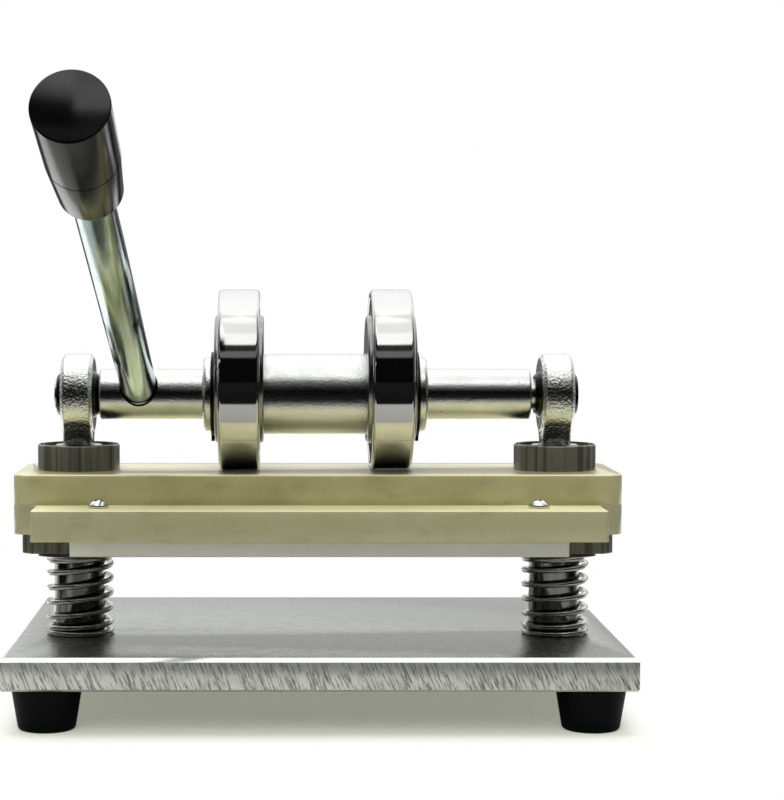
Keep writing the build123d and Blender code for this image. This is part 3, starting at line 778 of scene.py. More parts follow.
def dress_sides(piece: bpy.types.Object, limits: Sequence[tuple[float, Slot]]) -> None:
    """Gives a plate's steep faces further finishes, beside the finish of its broad faces.

    A face is as steep as one less the height of its unit normal.

    Args:
        piece: the dressed plate.
        limits: the steepness from which each further finish holds, the steepest first.
    """
    for _, slot in limits:
        piece.data.materials.append(slot.material())
    normals = np.zeros(3 * len(piece.data.polygons))
    piece.data.polygons.foreach_get("normal", normals)
    steepness = 1 - np.abs(normals.reshape(-1, 3)[:, 2])
    kind = np.select([steepness > limit for limit, _ in limits], np.arange(1, len(limits) + 1), 0)
    piece.data.polygons.foreach_set("material_index", kind.astype(np.int32))


# ---------------------------------------------------------------- sub-assemblies
@dataclass
class Table:
    """Base plate on four rubber feet, with its hidden screws."""

    edge: float = 0.25 * MM
    sawn_steepness: float = 0.7
    filed_steepness: float = 0.1
    foot_taper: float = 2.75 * MM
    foot_bore: float = 3.2 * MM
    foot_web: float = 5.0 * MM
    recess_radius: float = 6.5 * MM
    recess_flare: float = 0.5 * MM
    top_ease: float = 0.2 * MM
    bottom_ease: float = 1.6 * MM
    mouth_ease: float = 0.6 * MM
    recess_ease: float = 0.8 * MM

    def foot(self, node: str) -> bpy.types.Object:
        """Builds one foot: a hollow cone with rounded rims, turned about its own axis.

        Args:
            node: the node that it stands for.

        Returns:
            The new piece.
        """
        span = Span.of(node)
        centre = np.array([*span.centre[:2], span.high[2]])
        height = span.size[2]
        top = span.size[0] / 2
        corners = [(0, self.foot_bore), (0, top), (-height, top - self.foot_taper),
                   (-height, self.recess_radius + self.recess_flare),
                   (-self.foot_web, self.recess_radius), (-self.foot_web, self.foot_bore)]
        radii = [0, self.top_ease, self.bottom_ease, self.mouth_ease, self.recess_ease, 0]
        outline = rounded(corners, radii, closed=True, steps=7)
        grid = Grid(revolve(outline, centre, Z_AXIS, columns=72), rows_join=True)
        return make_piece(f"rubber_{node}", [grid])

    def build(self) -> None:
        """Builds the table and its feet."""
        plate = copy_of_node("work_table_plate", "base_plate", self.edge)
        dress(plate, Slot.TABLE, "base", ["base_plate"])
        dress_sides(plate, [(self.sawn_steepness, Slot.SAWN), (self.filed_steepness, Slot.FILED)])
        for node in ("foot_front_left", "foot_front_right", "foot_rear_left", "foot_rear_right"):
            dress(self.foot(node), Slot.FOOT, "base", [node])
        dress_node("foot_screws", Slot.SCREW)
        dress_node("post_screws", Slot.BLACK)


@dataclass
class GuidePosts:
    """The two guide rods and the return springs round them."""

    bore: float = 6.1 * MM
    bore_depth: float = 22.0 * MM
    chamfer: float = 1.2 * MM
    foot_ease: float = 0.2 * MM
    top_ease: float = 0.4 * MM
    bore_ease: float = 0.3 * MM
    wire: float = 2.15 * MM
    closed_pitch: float = 2.60 * MM
    turns: float = 6.5
    bottom_turns: float = 1.5
    top_turns: float = 0.75
    blend_turns: float = 0.35
    level_turns: float = 0.3
    settling_turns: float = 0.8
    settled_share: float = 0.85
    start_angles: tuple[float, float] = (pi, 0.8 * pi)
    tilts: tuple[float, float] = (0.5 * MM, -0.2 * MM)
    shift: float = 0.4 * MM
    end_bulge: float = 0.2
    steps_per_turn: int = 64
    dome_rows: int = 5
    kept_share: float = 0.62

    def post(self, side: str) -> bpy.types.Object:
        """Builds one rod: a turned outline with eased rims and a bore for the rod end.

        Args:
            side: left or right.

        Returns:
            The new piece.
        """
        span = Span.of(f"guide_post_{side}")
        radius = span.size[0] / 2
        height = span.size[2]
        floor = height - self.bore_depth
        corners = [(0, 0), (0, radius), (height - self.chamfer, radius), (height, radius - self.chamfer),
                   (height, self.bore), (floor, self.bore), (floor, 0)]
        radii = [0, self.foot_ease, self.top_ease, self.top_ease, self.bore_ease, 0, 0]
        origin = np.array([*span.centre[:2], span.low[2]])
        outline = rounded(corners, radii, steps=4)
        return make_piece(f"guide_rod_{side}", [Grid(revolve(outline, origin, Z_AXIS, columns=96))])

    def coil(self, side: str) -> tuple[np.ndarray, np.ndarray]:
        """Works out a spring's centre line, a circle about the post that rises as it turns.

        The height is the sum of three parts. The closed part is level for the first turns, then
        climbs by a smooth step and goes on at the closed pitch. The open part takes up the height
        that is left: it is the running sum of a weight, which is one in mid spring and falls to
        zero at the closed ends by smooth steps. The tilt is a sine along the spring times the
        cosine of the angle.

        Args:
            side: left or right.

        Returns:
            The points of the line, and the outward direction at each.
        """
        span = Span.of(f"return_spring_{side}")
        radius = (span.size[0] - self.wire) / 2
        turn = np.linspace(0, self.turns, int(self.turns * self.steps_per_turn) + 1)
        opening = smooth_step((turn - self.bottom_turns) / self.blend_turns + 0.5)
        closing = smooth_step((self.turns - self.top_turns - turn) / self.blend_turns + 0.5)
        weight = opening * closing
        opened = np.concatenate([[0.0], np.cumsum(weight[1:] + weight[:-1])])
        settled = self.settled_share * smooth_step((turn - self.level_turns) / self.settling_turns)
        settled += np.maximum(turn - self.level_turns - self.settling_turns, 0)
        spare = span.size[2] - self.wire - self.closed_pitch * settled[-1]
        angle = self.start_angles[SIDES.index(side)] + FULL_TURN * turn
        outward = np.stack([np.cos(angle), np.sin(angle), np.zeros_like(angle)], axis=1)
        tilt = self.tilts[SIDES.index(side)] * np.sin(pi * turn / self.turns) * np.cos(angle)
        height = self.wire / 2 + self.closed_pitch * settled + spare * opened / opened[-1] + tilt
        foot = np.array([span.centre[0] + self.shift, span.centre[1], span.low[2]])
        return foot + radius * outward + height[:, None] * Z_AXIS, outward

    def spring(self, side: str) -> bpy.types.Object:
        """Builds one return spring: round wire carried along its coil, with a small dome at each end.

        Args:
            side: left or right.

        Returns:
            The new piece.
        """
        path, outward = self.coil(side)
        tangent = unit(np.gradient(path, axis=0))
        across = np.cross(tangent, outward)
        dome = np.linspace(0, pi / 2, self.dome_rows)
        middle = len(path) - 2
        shrink = np.concatenate([np.sin(dome), np.ones(middle), np.cos(dome)])
        push = np.concatenate([-np.cos(dome), np.zeros(middle), np.sin(dome)])
        last = len(path) - 1
        index = np.concatenate([np.full(self.dome_rows, 0), np.arange(1, last),
                                np.full(self.dome_rows, last)])
        line = path[index] + tangent[index] * (push * self.wire * self.end_bulge)[:, None]
        section = circle(self.wire / 2, columns=16)[None] * shrink[:, None, None]
        grid = carry(line, outward[index], across[index], section)
        return make_piece(f"wound_spring_{side}", [Grid(grid)], sharp=60)

    def build(self) -> None:
        """Builds the rods and springs, each spring with a mesh of its own."""
        for side in SIDES:
            dress(self.post(side), Slot.POST, "base", [f"guide_post_{side}"])
            spring = dress(self.spring(side), Slot.SPRING, "base", [f"return_spring_{side}"])
            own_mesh(spring)


@dataclass
class RodEnds:
    """Forged rod ends on the posts, and the balls that carry the crank's journals."""

    head_bevel: float = 1.7 * MM
    head_slope: float = 1.3 * MM
    face_ease: float = 1.1 * MM
    crown_ease: float = 1.0 * MM
    ball_play: float = 0.05 * MM
    neck_start: float = 0.62
    neck_inset: float = 0.1 * MM
    neck_depth: float = 12.4 * MM
    neck_foot: float = 5.8 * MM
    foot_stretch: float = 1.06
    neck_power: float = 1.5
    square_power: float = 6.0
    round_power: float = 3.2
    shank: float = 5.95 * MM
    shank_length: float = 19.0 * MM
    shank_overlap: float = 1.0 * MM
    thread_pitch: float = 1.75 * MM
    thread_depth: float = 0.45 * MM
    ball_bore: float = 6.02 * MM
    bore_chamfer: float = 0.5 * MM

    def eye(self, side: str) -> Grid:
        """Works out the eye: a turned ring with bevelled shoulders over a spherical seat.

        Args:
            side: left or right.

        Returns:
            Its surface.
        """
        span = Span.of(f"rod_end_{side}")
        ball = Span.of(f"rod_end_ball_{side}")
        outer = span.high[2] - ball.centre[2]
        half = span.size[0] / 2
        seat = ball.size[2] / 2 + self.ball_play
        across = np.linspace(-half, half, 15)
        race = np.stack([across, np.sqrt(seat ** 2 - across ** 2)], axis=1)
        mouth = race[0, 1]
        face = outer - self.head_bevel
        shoulder = half - self.head_slope
        corners = [(half, mouth), (half, face), (shoulder, outer),
                   (-shoulder, outer), (-half, face), (-half, mouth)]
        radii = [0, self.face_ease, self.crown_ease, self.crown_ease, self.face_ease, 0]
        rim = rounded(corners, radii, steps=7)
        outline = np.concatenate([race, rim[1:-1]])
        return Grid(revolve(outline, ball.centre, X_AXIS, columns=128), rows_join=True)

    def neck(self, side: str) -> Grid:
        """Works out the neck: it leaves the eye along its tangent and narrows onto the shank.

        Each level is a superellipse, |x / a|^p + |y / b|^p = 1, that turns from nearly square to
        nearly round. Its half width across the eye falls in a straight line with the height, and
        its half depth falls fastest next to the eye.

        Args:
            side: left or right.

        Returns:
            Its surface, closed at both ends.
        """
        span = Span.of(f"rod_end_{side}")
        centre = Span.of(f"rod_end_ball_{side}").centre
        top = centre[2] - (span.high[2] - centre[2]) * self.neck_start
        bottom = span.low[2] + self.shank_length
        share = np.linspace(0, 1, 22)[:, None]
        level = top + (bottom - top) * share
        ease = 1 - (1 - share) ** self.neck_power
        half_x = (span.size[0] / 2 - self.neck_inset) * (1 - share) + self.neck_foot * share
        half_y = self.neck_depth * (1 - ease) + self.neck_foot * self.foot_stretch * ease
        power = self.square_power * (1 - share) + self.round_power * share
        angle = np.linspace(0, FULL_TURN, 64, endpoint=False)[None, :]
        x = half_x * np.abs(np.cos(angle)) ** (2 / power) * np.sign(np.cos(angle))
        y = half_y * np.abs(np.sin(angle)) ** (2 / power) * np.sign(np.sin(angle))
        wall = np.stack([centre[0] + x, centre[1] + y, np.broadcast_to(level, x.shape)], axis=-1)
        top_pole = np.broadcast_to([centre[0], centre[1], top], wall[:1].shape)
        bottom_pole = np.broadcast_to([centre[0], centre[1], bottom], wall[:1].shape)
        return Grid(np.concatenate([top_pole, wall, bottom_pole]))

    def screw(self, side: str) -> Grid:
        """Works out the shank: its radius waves by the thread's depth once in each pitch.

        Args:
            side: left or right.

        Returns:
            Its surface, closed at both ends.
        """
        foot = Span.of(f"rod_end_ball_{side}").centre
        foot[2] = Span.of(f"rod_end_{side}").low[2]
        length = self.shank_length + self.shank_overlap
        along = np.linspace(0, length, int(length / self.thread_pitch) * 6)
        wave = 0.5 + 0.5 * np.cos(FULL_TURN * along / self.thread_pitch)
        thread = np.stack([along, self.shank - self.thread_depth * wave], axis=1)
        outline = np.concatenate([[[0.0, 0.0]], thread, [[length, 0.0]]])
        return Grid(revolve(outline, foot, Z_AXIS, columns=48))

    def ball(self, side: str) -> bpy.types.Object:
        """Builds one bored ball: a spherical zone between two flat faces, open for the journal.

        Args:
            side: left or right.

        Returns:
            The new piece.
        """
        span = Span.of(f"rod_end_ball_{side}")
        radius = span.size[2] / 2
        half = span.size[0] / 2
        reach = np.arcsin(half / radius)
        angle = np.linspace(-reach, reach, 25)
        zone = np.stack([radius * np.sin(angle), radius * np.cos(angle)], axis=1)
        mouth = self.ball_bore + self.bore_chamfer
        inset = half - self.bore_chamfer
        inner = np.array([[half, mouth], [inset, self.ball_bore], [-inset, self.ball_bore], [-half, mouth]])
        outline = np.concatenate([zone, inner])
        grid = Grid(revolve(outline, span.centre, X_AXIS, columns=96), rows_join=True)
        return make_piece(f"spherical_ball_{side}", [grid])

    def build(self) -> None:
        """Builds both rod ends and their balls."""
        for side in SIDES:
            grids = [self.eye(side), self.neck(side), self.screw(side)]
            eye = make_piece(f"forged_rod_end_{side}", grids, sharp=40)
            dress(eye, Slot.ROD_END, "base", [f"rod_end_{side}"])
            dress(self.ball(side), Slot.BALL, "crank", [f"rod_end_ball_{side}"])


@dataclass
class Platen:
    """Upper plate, carrier plate and pressing plate with their guide bearings and screws."""

    edge: float = 0.35 * MM
    pressing_edge: float = 0.3 * MM
    side_steepness: float = 0.8
    sleeve_radius: float = 16.0 * MM
    sleeve_skin: float = 0.02 * MM
    sleeve_height: float = 24.0 * MM
    sleeve_wall: float = 2.2 * MM
    sleeve_ease: float = 0.7 * MM
    inner_ease: float = 0.4 * MM
    post_bore: float = 10.06 * MM
    seal_chamfer: float = 0.8 * MM
    seal_chamfer_drop: float = 0.6 * MM
    lip_land: float = 1.6 * MM
    lip_groove: float = 0.8 * MM
    lip_groove_depth: float = 0.9 * MM
    lip_drop: float = 0.2 * MM
    head_radius: float = 4.0 * MM
    head_height: float = 3.1 * MM
    rim_share: float = 0.27
    dome_power: float = 2.3
    cross_half_width: float = 0.75 * MM
    cross_wall: float = 0.22 * MM
    cross_reach: float = 2.35 * MM
    cross_end: float = 0.3 * MM
    cross_depth: float = 1.9 * MM
    cross_slope: float = 0.35
    screw_radius: float = 1.95 * MM
    screw_length: float = 16.4 * MM
    seat_ease: float = 0.25 * MM
    tip_ease: float = 0.3 * MM
    first_turn: float = 0.4
    turn_by_side: float = 1.9
    turn_by_ledge: float = 0.7

    def sleeve(self, side: str) -> bpy.types.Object:
        """Builds the bearing's sleeve top: a turned ring that hides the facets of the solid.

        Args:
            side: left or right.

        Returns:
            The new piece.
        """
        span = Span.of(f"guide_bearing_{side}")
        inner = self.sleeve_radius - self.sleeve_wall
        outer = self.sleeve_radius + self.sleeve_skin
        corners = [(0, inner), (0, outer), (self.sleeve_height, outer), (self.sleeve_height, inner)]
        outline = rounded(corners, [0, 0, self.sleeve_ease, self.inner_ease], closed=True, steps=6)
        origin = np.array([*span.centre[:2], span.high[2] - self.sleeve_height])
        grid = Grid(revolve(outline, origin, Z_AXIS, columns=128), rows_join=True)
        return make_piece(f"bearing_sleeve_{side}", [grid])

    def seal(self, side: str) -> bpy.types.Object:
        """Builds the bearing's end seals and the sleeve between them, with a lip on the rod.

        Args:
            side: left or right.

        Returns:
            The new piece.
        """
        span = Span.of(f"bearing_retainer_{side}")
        outer = span.size[0] / 2
        bore = self.post_bore
        top = span.size[2]
        corners = [(0, bore), (0, outer), (top - self.seal_chamfer_drop, outer),
                   (top, outer - self.seal_chamfer), (top, bore + self.lip_land),
                   (top - self.lip_groove_depth, bore + self.lip_groove), (top - self.lip_drop, bore)]
        radii_mm = [0, 0, 0.3, 0.3, 0.4, 0.4, 0.2]
        outline = rounded(corners, [r * MM for r in radii_mm], closed=True, steps=5)
        origin = np.array([*span.centre[:2], span.low[2]])
        grid = Grid(revolve(outline, origin, Z_AXIS, columns=96), rows_join=True)
        return make_piece(f"bearing_seal_{side}", [grid])

    def pan_head(self, seat: np.ndarray, turn: float) -> Grid:
        """Works out one pan head with its shank, and the cross recess that is pressed into it.

        The dome's height is the rim's plus the rest times 1 - (radius share)^power. It is lowered
        where a point lies within the width of either arm of the cross and inside its reach, by
        smooth steep walls, and less towards the ends of the arms.

        Args:
            seat: the middle of the head's underside.
            turn: the angle at which the screw came to rest, in radians.

        Returns:
            Its surface, closed at both ends.
        """
        share = np.concatenate([np.linspace(0, 0.72, 30), np.linspace(0.76, 1.0, 8)])[:, None]
        radius = share * self.head_radius
        angle = np.linspace(0, FULL_TURN, 96, endpoint=False)
        across = np.abs(radius * np.cos(angle))
        along = np.abs(radius * np.sin(angle))
        reach = np.maximum(across, along)
        pressed = smooth_step((self.cross_half_width - np.minimum(across, along)) / self.cross_wall)
        pressed = pressed * smooth_step((self.cross_reach - reach) / self.cross_end)
        dome = self.rim_share + (1 - self.rim_share) * (1 - share ** self.dome_power)
        height = self.head_height * dome - pressed * (self.cross_depth - self.cross_slope * reach)
        ray = np.stack([np.cos(angle + turn), np.sin(angle + turn), 0 * angle], axis=1)
        cap = seat + radius[..., None] * ray + height[..., None] * Z_AXIS

        corners = [(self.head_height * self.rim_share, self.head_radius), (0, self.head_radius),
                   (0, self.screw_radius), (-self.screw_length, self.screw_radius), (-self.screw_length, 0)]
        skirt = rounded(corners, [0, self.seat_ease, 0, self.tip_ease, 0], steps=4)
        wall = seat + skirt[:, :1, None] * Z_AXIS + skirt[:, 1:, None] * ray
        return Grid(np.concatenate([cap, wall[1:]]))

    def screws(self) -> bpy.types.Object:
        """Builds the four pan-head screws, each at rest at a turn of its own."""
        span = Span.of("plate_screws")
        half = span.size / 2 - self.head_radius
        seat = span.high[2] - self.head_height
        grids = []
        for x, y in ((-1, -1), (-1, 1), (1, -1), (1, 1)):
            turn = self.first_turn + self.turn_by_side * x + self.turn_by_ledge * y
            grids.append(self.pan_head(np.array([x * half[0], y * half[1], seat]), turn))
        return make_piece("pan_head_screws", grids, sharp=50)

    def build(self) -> None:
        """Builds the plates, bearings and screws."""
        # the plates' broad faces take a lighter colour as painted light, their sides a darker one as
        # painted shade
        upper = copy_of_node("gold_upper_plate", "upper_plate", self.edge)
        dress(upper, Slot.GOLD, "platen", ["upper_plate"])
        dress_sides(upper, [(self.side_steepness, Slot.GOLD_EDGE)])
        carrier = copy_of_node("gold_carrier_plate", "carrier_plate", self.edge)
        dress(carrier, Slot.LEDGE, "platen", ["carrier_plate"])
        dress_sides(carrier, [(self.side_steepness, Slot.SHADED_CARRIER_EDGE)])
        pressing = copy_of_node("lower_pressing_plate", "pressing_plate", self.pressing_edge)
        dress(pressing, Slot.PRESSING, "platen", ["pressing_plate"])
        dress(self.screws(), Slot.SCREW, "platen", ["plate_screws"])
        for side in SIDES:
            dress_node(f"guide_bearing_{side}", Slot.GUIDE)
            dress(self.sleeve(side), Slot.GUIDE, "platen")
            dress(self.seal(side), Slot.SEAL, "platen", [f"bearing_retainer_{side}"])
            dress_node(f"spring_washer_{side}", Slot.SCREW)
        dress_node("flange_screws", Slot.BLACK)
        dress_node("clamp_screws", Slot.BLACK)


@dataclass
class Crank:
    """Shaft, eccentric discs, rollers, circlips, arm and grip."""

    body_half: float = 43.7 * MM
    stub_half: float = 84.4 * MM
    body_radius: float = 15.8 * MM
    collar_radius: float = 14.7 * MM
    stub_radius: float = 10.0 * MM
    journal_radius: float = 6.0 * MM
    clip_groove_width: float = 1.4 * MM
    clip_groove_depth: float = 1.6 * MM
    fit: float = 0.04 * MM
    disc_ease: float = 0.9 * MM
    disc_land: float = 2.0 * MM
    ring_ease: float = 1.5 * MM
    chamfer: float = 0.4 * MM
    play: float = 0.03 * MM
    seal_play: float = 0.02 * MM
    race_depth: float = 1.9 * MM
    seal_thickness: float = 0.8 * MM
    seal_dish: float = 0.35 * MM
    arm_radius: float = 7.0 * MM
    arm_end: float = 6.0 * MM
    spigot_radius: float = 5.0 * MM
    spigot_depth: float = 6.0 * MM
    spigot_shoulder: float = 8.0 * MM
    shadow_ring_offset: float = 0.14 * MM
    shadow_ring_radius: float = 0.45 * MM
    grip_length: float = 58.0 * MM
    grip_seam: float = 33.3 * MM
    grip_seam_half: float = 0.3 * MM
    grip_seam_depth: float = 0.2 * MM
    grip_start: float = 10.5 * MM
    grip_waist: float = 11.9 * MM
    grip_end: float = 12.1 * MM
    grip_crown: float = 1.1 * MM
    grip_crown_share: float = 0.94
    grip_wall: float = 5.0 * MM

    def __post_init__(self) -> None:
        """Reads the shaft's length, the crank's axis and the circlips' place from the frame."""
        self.shaft_half = Span.of("crank_shaft").size[0] / 2
        self.axis_point = Span.of("rod_end_ball_left").centre
        self.axis_point[0] = Span.of("crank_shaft").centre[0]
        self.clip_x = Span.of("circlip_right").centre[0] - self.axis_point[0]

    def shaft(self) -> bpy.types.Object:
        """Builds the turned shaft: body, circlip grooves, stubs and journals, each rim eased."""
        near = self.clip_x - self.clip_groove_width / 2
        far = self.clip_x + self.clip_groove_width / 2
        floor = self.body_radius - self.clip_groove_depth
        right = [(near, self.body_radius), (near, floor), (far, floor), (far, self.collar_radius),
                 (self.body_half, self.collar_radius), (self.body_half, self.stub_radius),
                 (self.stub_half, self.stub_radius), (self.stub_half, self.journal_radius),
                 (self.shaft_half, self.journal_radius), (self.shaft_half, 0.0)]
        radii_mm = [0.1, 0.15, 0.15, 0.1, 1.5, 0.5, 1.0, 0.3, 0.6, 0.0]
        left = [(-x, r) for x, r in reversed(right)]
        outline = rounded(left + right, [r * MM for r in radii_mm[::-1] + radii_mm], steps=7)
        grid = Grid(revolve(outline, self.axis_point, X_AXIS, columns=144))
        return make_piece("turned_crank_shaft", [grid])

    def disc(self, side: str) -> bpy.types.Object:
        """Builds an eccentric disc: its rim turns about the roller's axis, its bore about the shaft's.

        Args:
            side: left or right.

        Returns:
            The new piece.
        """
        span = Span.of(f"eccentric_disc_{side}")
        bore_centre = np.array([span.centre[0], *self.axis_point[1:]])
        half = span.size[0] / 2
        rim = span.size[2] / 2
        face = rim - self.disc_land
        outer = rounded([(-half, face), (-half, rim), (half, rim), (half, face)],
                        [0, self.disc_ease, self.disc_ease, 0], steps=6)
        bore = self.body_radius + self.fit
        mouth = bore + self.chamfer
        inset = half - self.chamfer
        inner = np.array([[half, mouth], [inset, bore], [-inset, bore], [-half, mouth]])
        points = np.concatenate([revolve(outer, span.centre, X_AXIS, columns=128),
                                 revolve(inner, bore_centre, X_AXIS, columns=128)])
        return make_piece(f"keyed_disc_{side}", [Grid(points, rows_join=True)])

    def ring(self, side: str) -> bpy.types.Object:
        """Builds a roller's outer ring: rounded outer rims, small inner ones and a ball groove.

        Args:
            side: left or right.

        Returns:
            The new piece.
        """
        span = Span.of(f"roller_{side}")
        half = span.size[0] / 2
        outer = span.size[2] / 2
        inner = Span.of(f"roller_seals_{side}").size[2] / 2 + self.seal_play
        groove = Span.of(f"roller_balls_{side}").size[0] / 2 + self.play
        pitch = inner - self.race_depth
        reach = np.arccos((inner - pitch) / groove)
        angle = np.linspace(-reach, reach, 13)
        race = np.stack([groove * np.sin(angle), pitch + groove * np.cos(angle)], axis=1)
        mouth = inner + self.chamfer
        inset = half - self.chamfer
        rim = rounded([(inset, inner), (half, mouth), (half, outer), (-half, outer), (-half, mouth),
                       (-inset, inner)], [0, 0, self.ring_ease, self.ring_ease, 0, 0], steps=8)
        outline = np.concatenate([race, rim])
        grid = Grid(revolve(outline, span.centre, X_AXIS, columns=160), rows_join=True)
        return make_piece(f"roller_ring_{side}", [grid])

    def seals(self, side: str) -> bpy.types.Object:
        """Builds a roller's two seals: rings dished between the inner and the outer ring.

        Args:
            side: left or right.

        Returns:
            The new piece.
        """
        span = Span.of(f"roller_seals_{side}")
        outer = span.size[2] / 2
        inner = Span.of(f"roller_inner_ring_{side}").size[2] / 2 + self.play
        middle = (outer + inner) / 2
        radii_mm = [0.15, 0.8, 0.1, 0, 0]
        grids = []
        for sign in (-1, 1):
            face = sign * span.size[0] / 2
            back = face - sign * self.seal_thickness
            corners = [(face, inner), (face - sign * self.seal_dish, middle), (face, outer),
                       (back, outer), (back, inner)]
            outline = rounded(corners, [r * MM for r in radii_mm], closed=True, steps=5)
            grids.append(Grid(revolve(outline, span.centre, X_AXIS, columns=128), rows_join=True))
        return make_piece(f"dished_seals_{side}", grids)

    def arm_line(self) -> tuple[np.ndarray, np.ndarray, float]:
        """Works out the arm's line from the grip's solid.

        The longest principal direction of the grip's points, from their singular value
        decomposition, is the arm's direction. The foot is the point of that line next to the
        crank's axis, and the reach is the greatest distance of a point from it along the line.

        Returns:
            The foot, the unit direction and the reach.
        """
        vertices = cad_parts["hand_grip"].data.vertices
        points = np.zeros(3 * len(vertices))
        vertices.foreach_get("co", points)
        points = points.reshape(-1, 3)
        middle = points.mean(0)
        _, _, directions = np.linalg.svd(points - middle, full_matrices=False)
        direction = directions[0] if directions[0][2] > 0 else -directions[0]
        on_axis = np.array([middle[0], *self.axis_point[1:]])
        foot = middle + ((on_axis - middle) @ direction) * direction
        return foot, direction, ((points - foot) @ direction).max()

    def arm(self, foot: np.ndarray, direction: np.ndarray, reach: float) -> bpy.types.Object:
        """Builds the drawn bar with its eased end and the spigot that enters the shaft.

        Args:
            foot: the arm's point next to the crank's axis.
            direction: its unit direction.
            reach: the grip's far end, from the foot.

        Returns:
            The new piece.
        """
        end = reach - self.arm_end
        corners = [(-self.spigot_depth, 0), (-self.spigot_depth, self.spigot_radius),
                   (self.spigot_shoulder, self.spigot_radius), (self.spigot_shoulder, self.arm_radius),
                   (end, self.arm_radius), (end, 0)]
        radii_mm = [0, 0.5, 0, 0.8, 0.8, 0]
        outline = rounded(corners, [r * MM for r in radii_mm], steps=5)
        return make_piece("drawn_arm_bar", [Grid(revolve(outline, foot, direction, columns=96))])

    def arm_shadow_ring(self, foot: np.ndarray, direction: np.ndarray) -> bpy.types.Object:
        """Builds a black ring round the arm where it enters the stub: a painted shadow of the gap there.

        A point on a circle round the arm is pushed along the arm by the larger root of the
        quadratic that puts it on the stub's cylinder; a small round section runs along that curve.

        Args:
            foot: the arm's point next to the crank's axis.
            direction: its unit direction.

        Returns:
            The new piece.
        """
        first, second = cross_directions(direction)
        ring = circle(1.0, columns=120) @ np.stack([first, second])
        start = foot + (self.arm_radius + self.shadow_ring_offset) * ring
        offset = (start - self.axis_point)[:, 1:]
        square = (direction[1:] ** 2).sum()
        half_linear = offset @ direction[1:]
        rest = (offset ** 2).sum(1) - self.stub_radius ** 2
        push = (-half_linear + np.sqrt(half_linear ** 2 - square * rest)) / square
        path = start + push[:, None] * direction
        along = np.broadcast_to(direction, path.shape)
        section = circle(self.shadow_ring_radius, columns=10)
        grid = Grid(carry(path, ring, along, section), rows_join=True)
        return make_piece("arm_socket_painted_shadow", [grid], sharp=60)

    def grip(self, foot: np.ndarray, direction: np.ndarray, reach: float) -> bpy.types.Object:
        """Builds the tapered grip: a domed end, a fine moulded seam and a slimmer ferrule.

        The dome is the cap of a sphere, whose radius is (end^2 + crown^2) / (2 crown).

        Args:
            foot: the arm's point next to the crank's axis.
            direction: its unit direction.
            reach: the grip's far end, from the foot.

        Returns:
            The new piece.
        """
        bore = self.arm_radius + self.fit
        seam = reach - self.grip_seam
        start = reach - self.grip_length
        sphere = (self.grip_end ** 2 + self.grip_crown ** 2) / (2 * self.grip_crown)
        across = np.linspace(self.grip_crown_share, 0, 20) * self.grip_end
        dome = np.stack([reach - sphere + np.sqrt(sphere ** 2 - across ** 2), across], axis=1)
        corners = [(start, bore), (start, self.grip_start), (seam - self.grip_seam_half, self.grip_waist),
                   (seam, self.grip_waist - self.grip_seam_depth),
                   (seam + self.grip_seam_half, self.grip_waist),
                   (reach - self.grip_crown, self.grip_end), tuple(dome[0])]
        radii_mm = [0, 0.5, 0.1, 0.1, 0.1, 0.5, 0]
        skin = rounded(corners, [r * MM for r in radii_mm], steps=7)
        floor = reach - self.grip_wall
        outline = np.concatenate([skin, dome[1:], [[floor, 0.0], [floor, bore]]])
        return make_piece("moulded_hand_grip", [Grid(revolve(outline, foot, direction, columns=128))])

    def build(self) -> None:
        """Builds the crank and both rollers."""
        dress(self.shaft(), Slot.SHAFT, "crank", ["crank_shaft"])
        foot, direction, reach = self.arm_line()
        dress(self.arm(foot, direction, reach), Slot.ARM, "crank", ["handle_arm"])
        # a black ring stands for the shadow where the arm enters the stub: painted shadow
        dress(self.arm_shadow_ring(foot, direction), Slot.BLACK, "crank")
        dress(self.grip(foot, direction, reach), Slot.GRIP, "crank", ["hand_grip"])
        dress_node("drive_keys", Slot.BLACK)
        for side in SIDES:
            dress(self.disc(side), Slot.DISC, "crank", [f"eccentric_disc_{side}"])
            dress(self.ring(side), Slot.BEARING, f"{side}_roller", [f"roller_{side}"])
            dress(self.seals(side), Slot.SEAL, f"{side}_roller", [f"roller_seals_{side}"])
            dress_node(f"roller_inner_ring_{side}", Slot.BEARING)
            dress_node(f"roller_balls_{side}", Slot.BEARING)
            dress_node(f"circlip_{side}", Slot.BLACK)


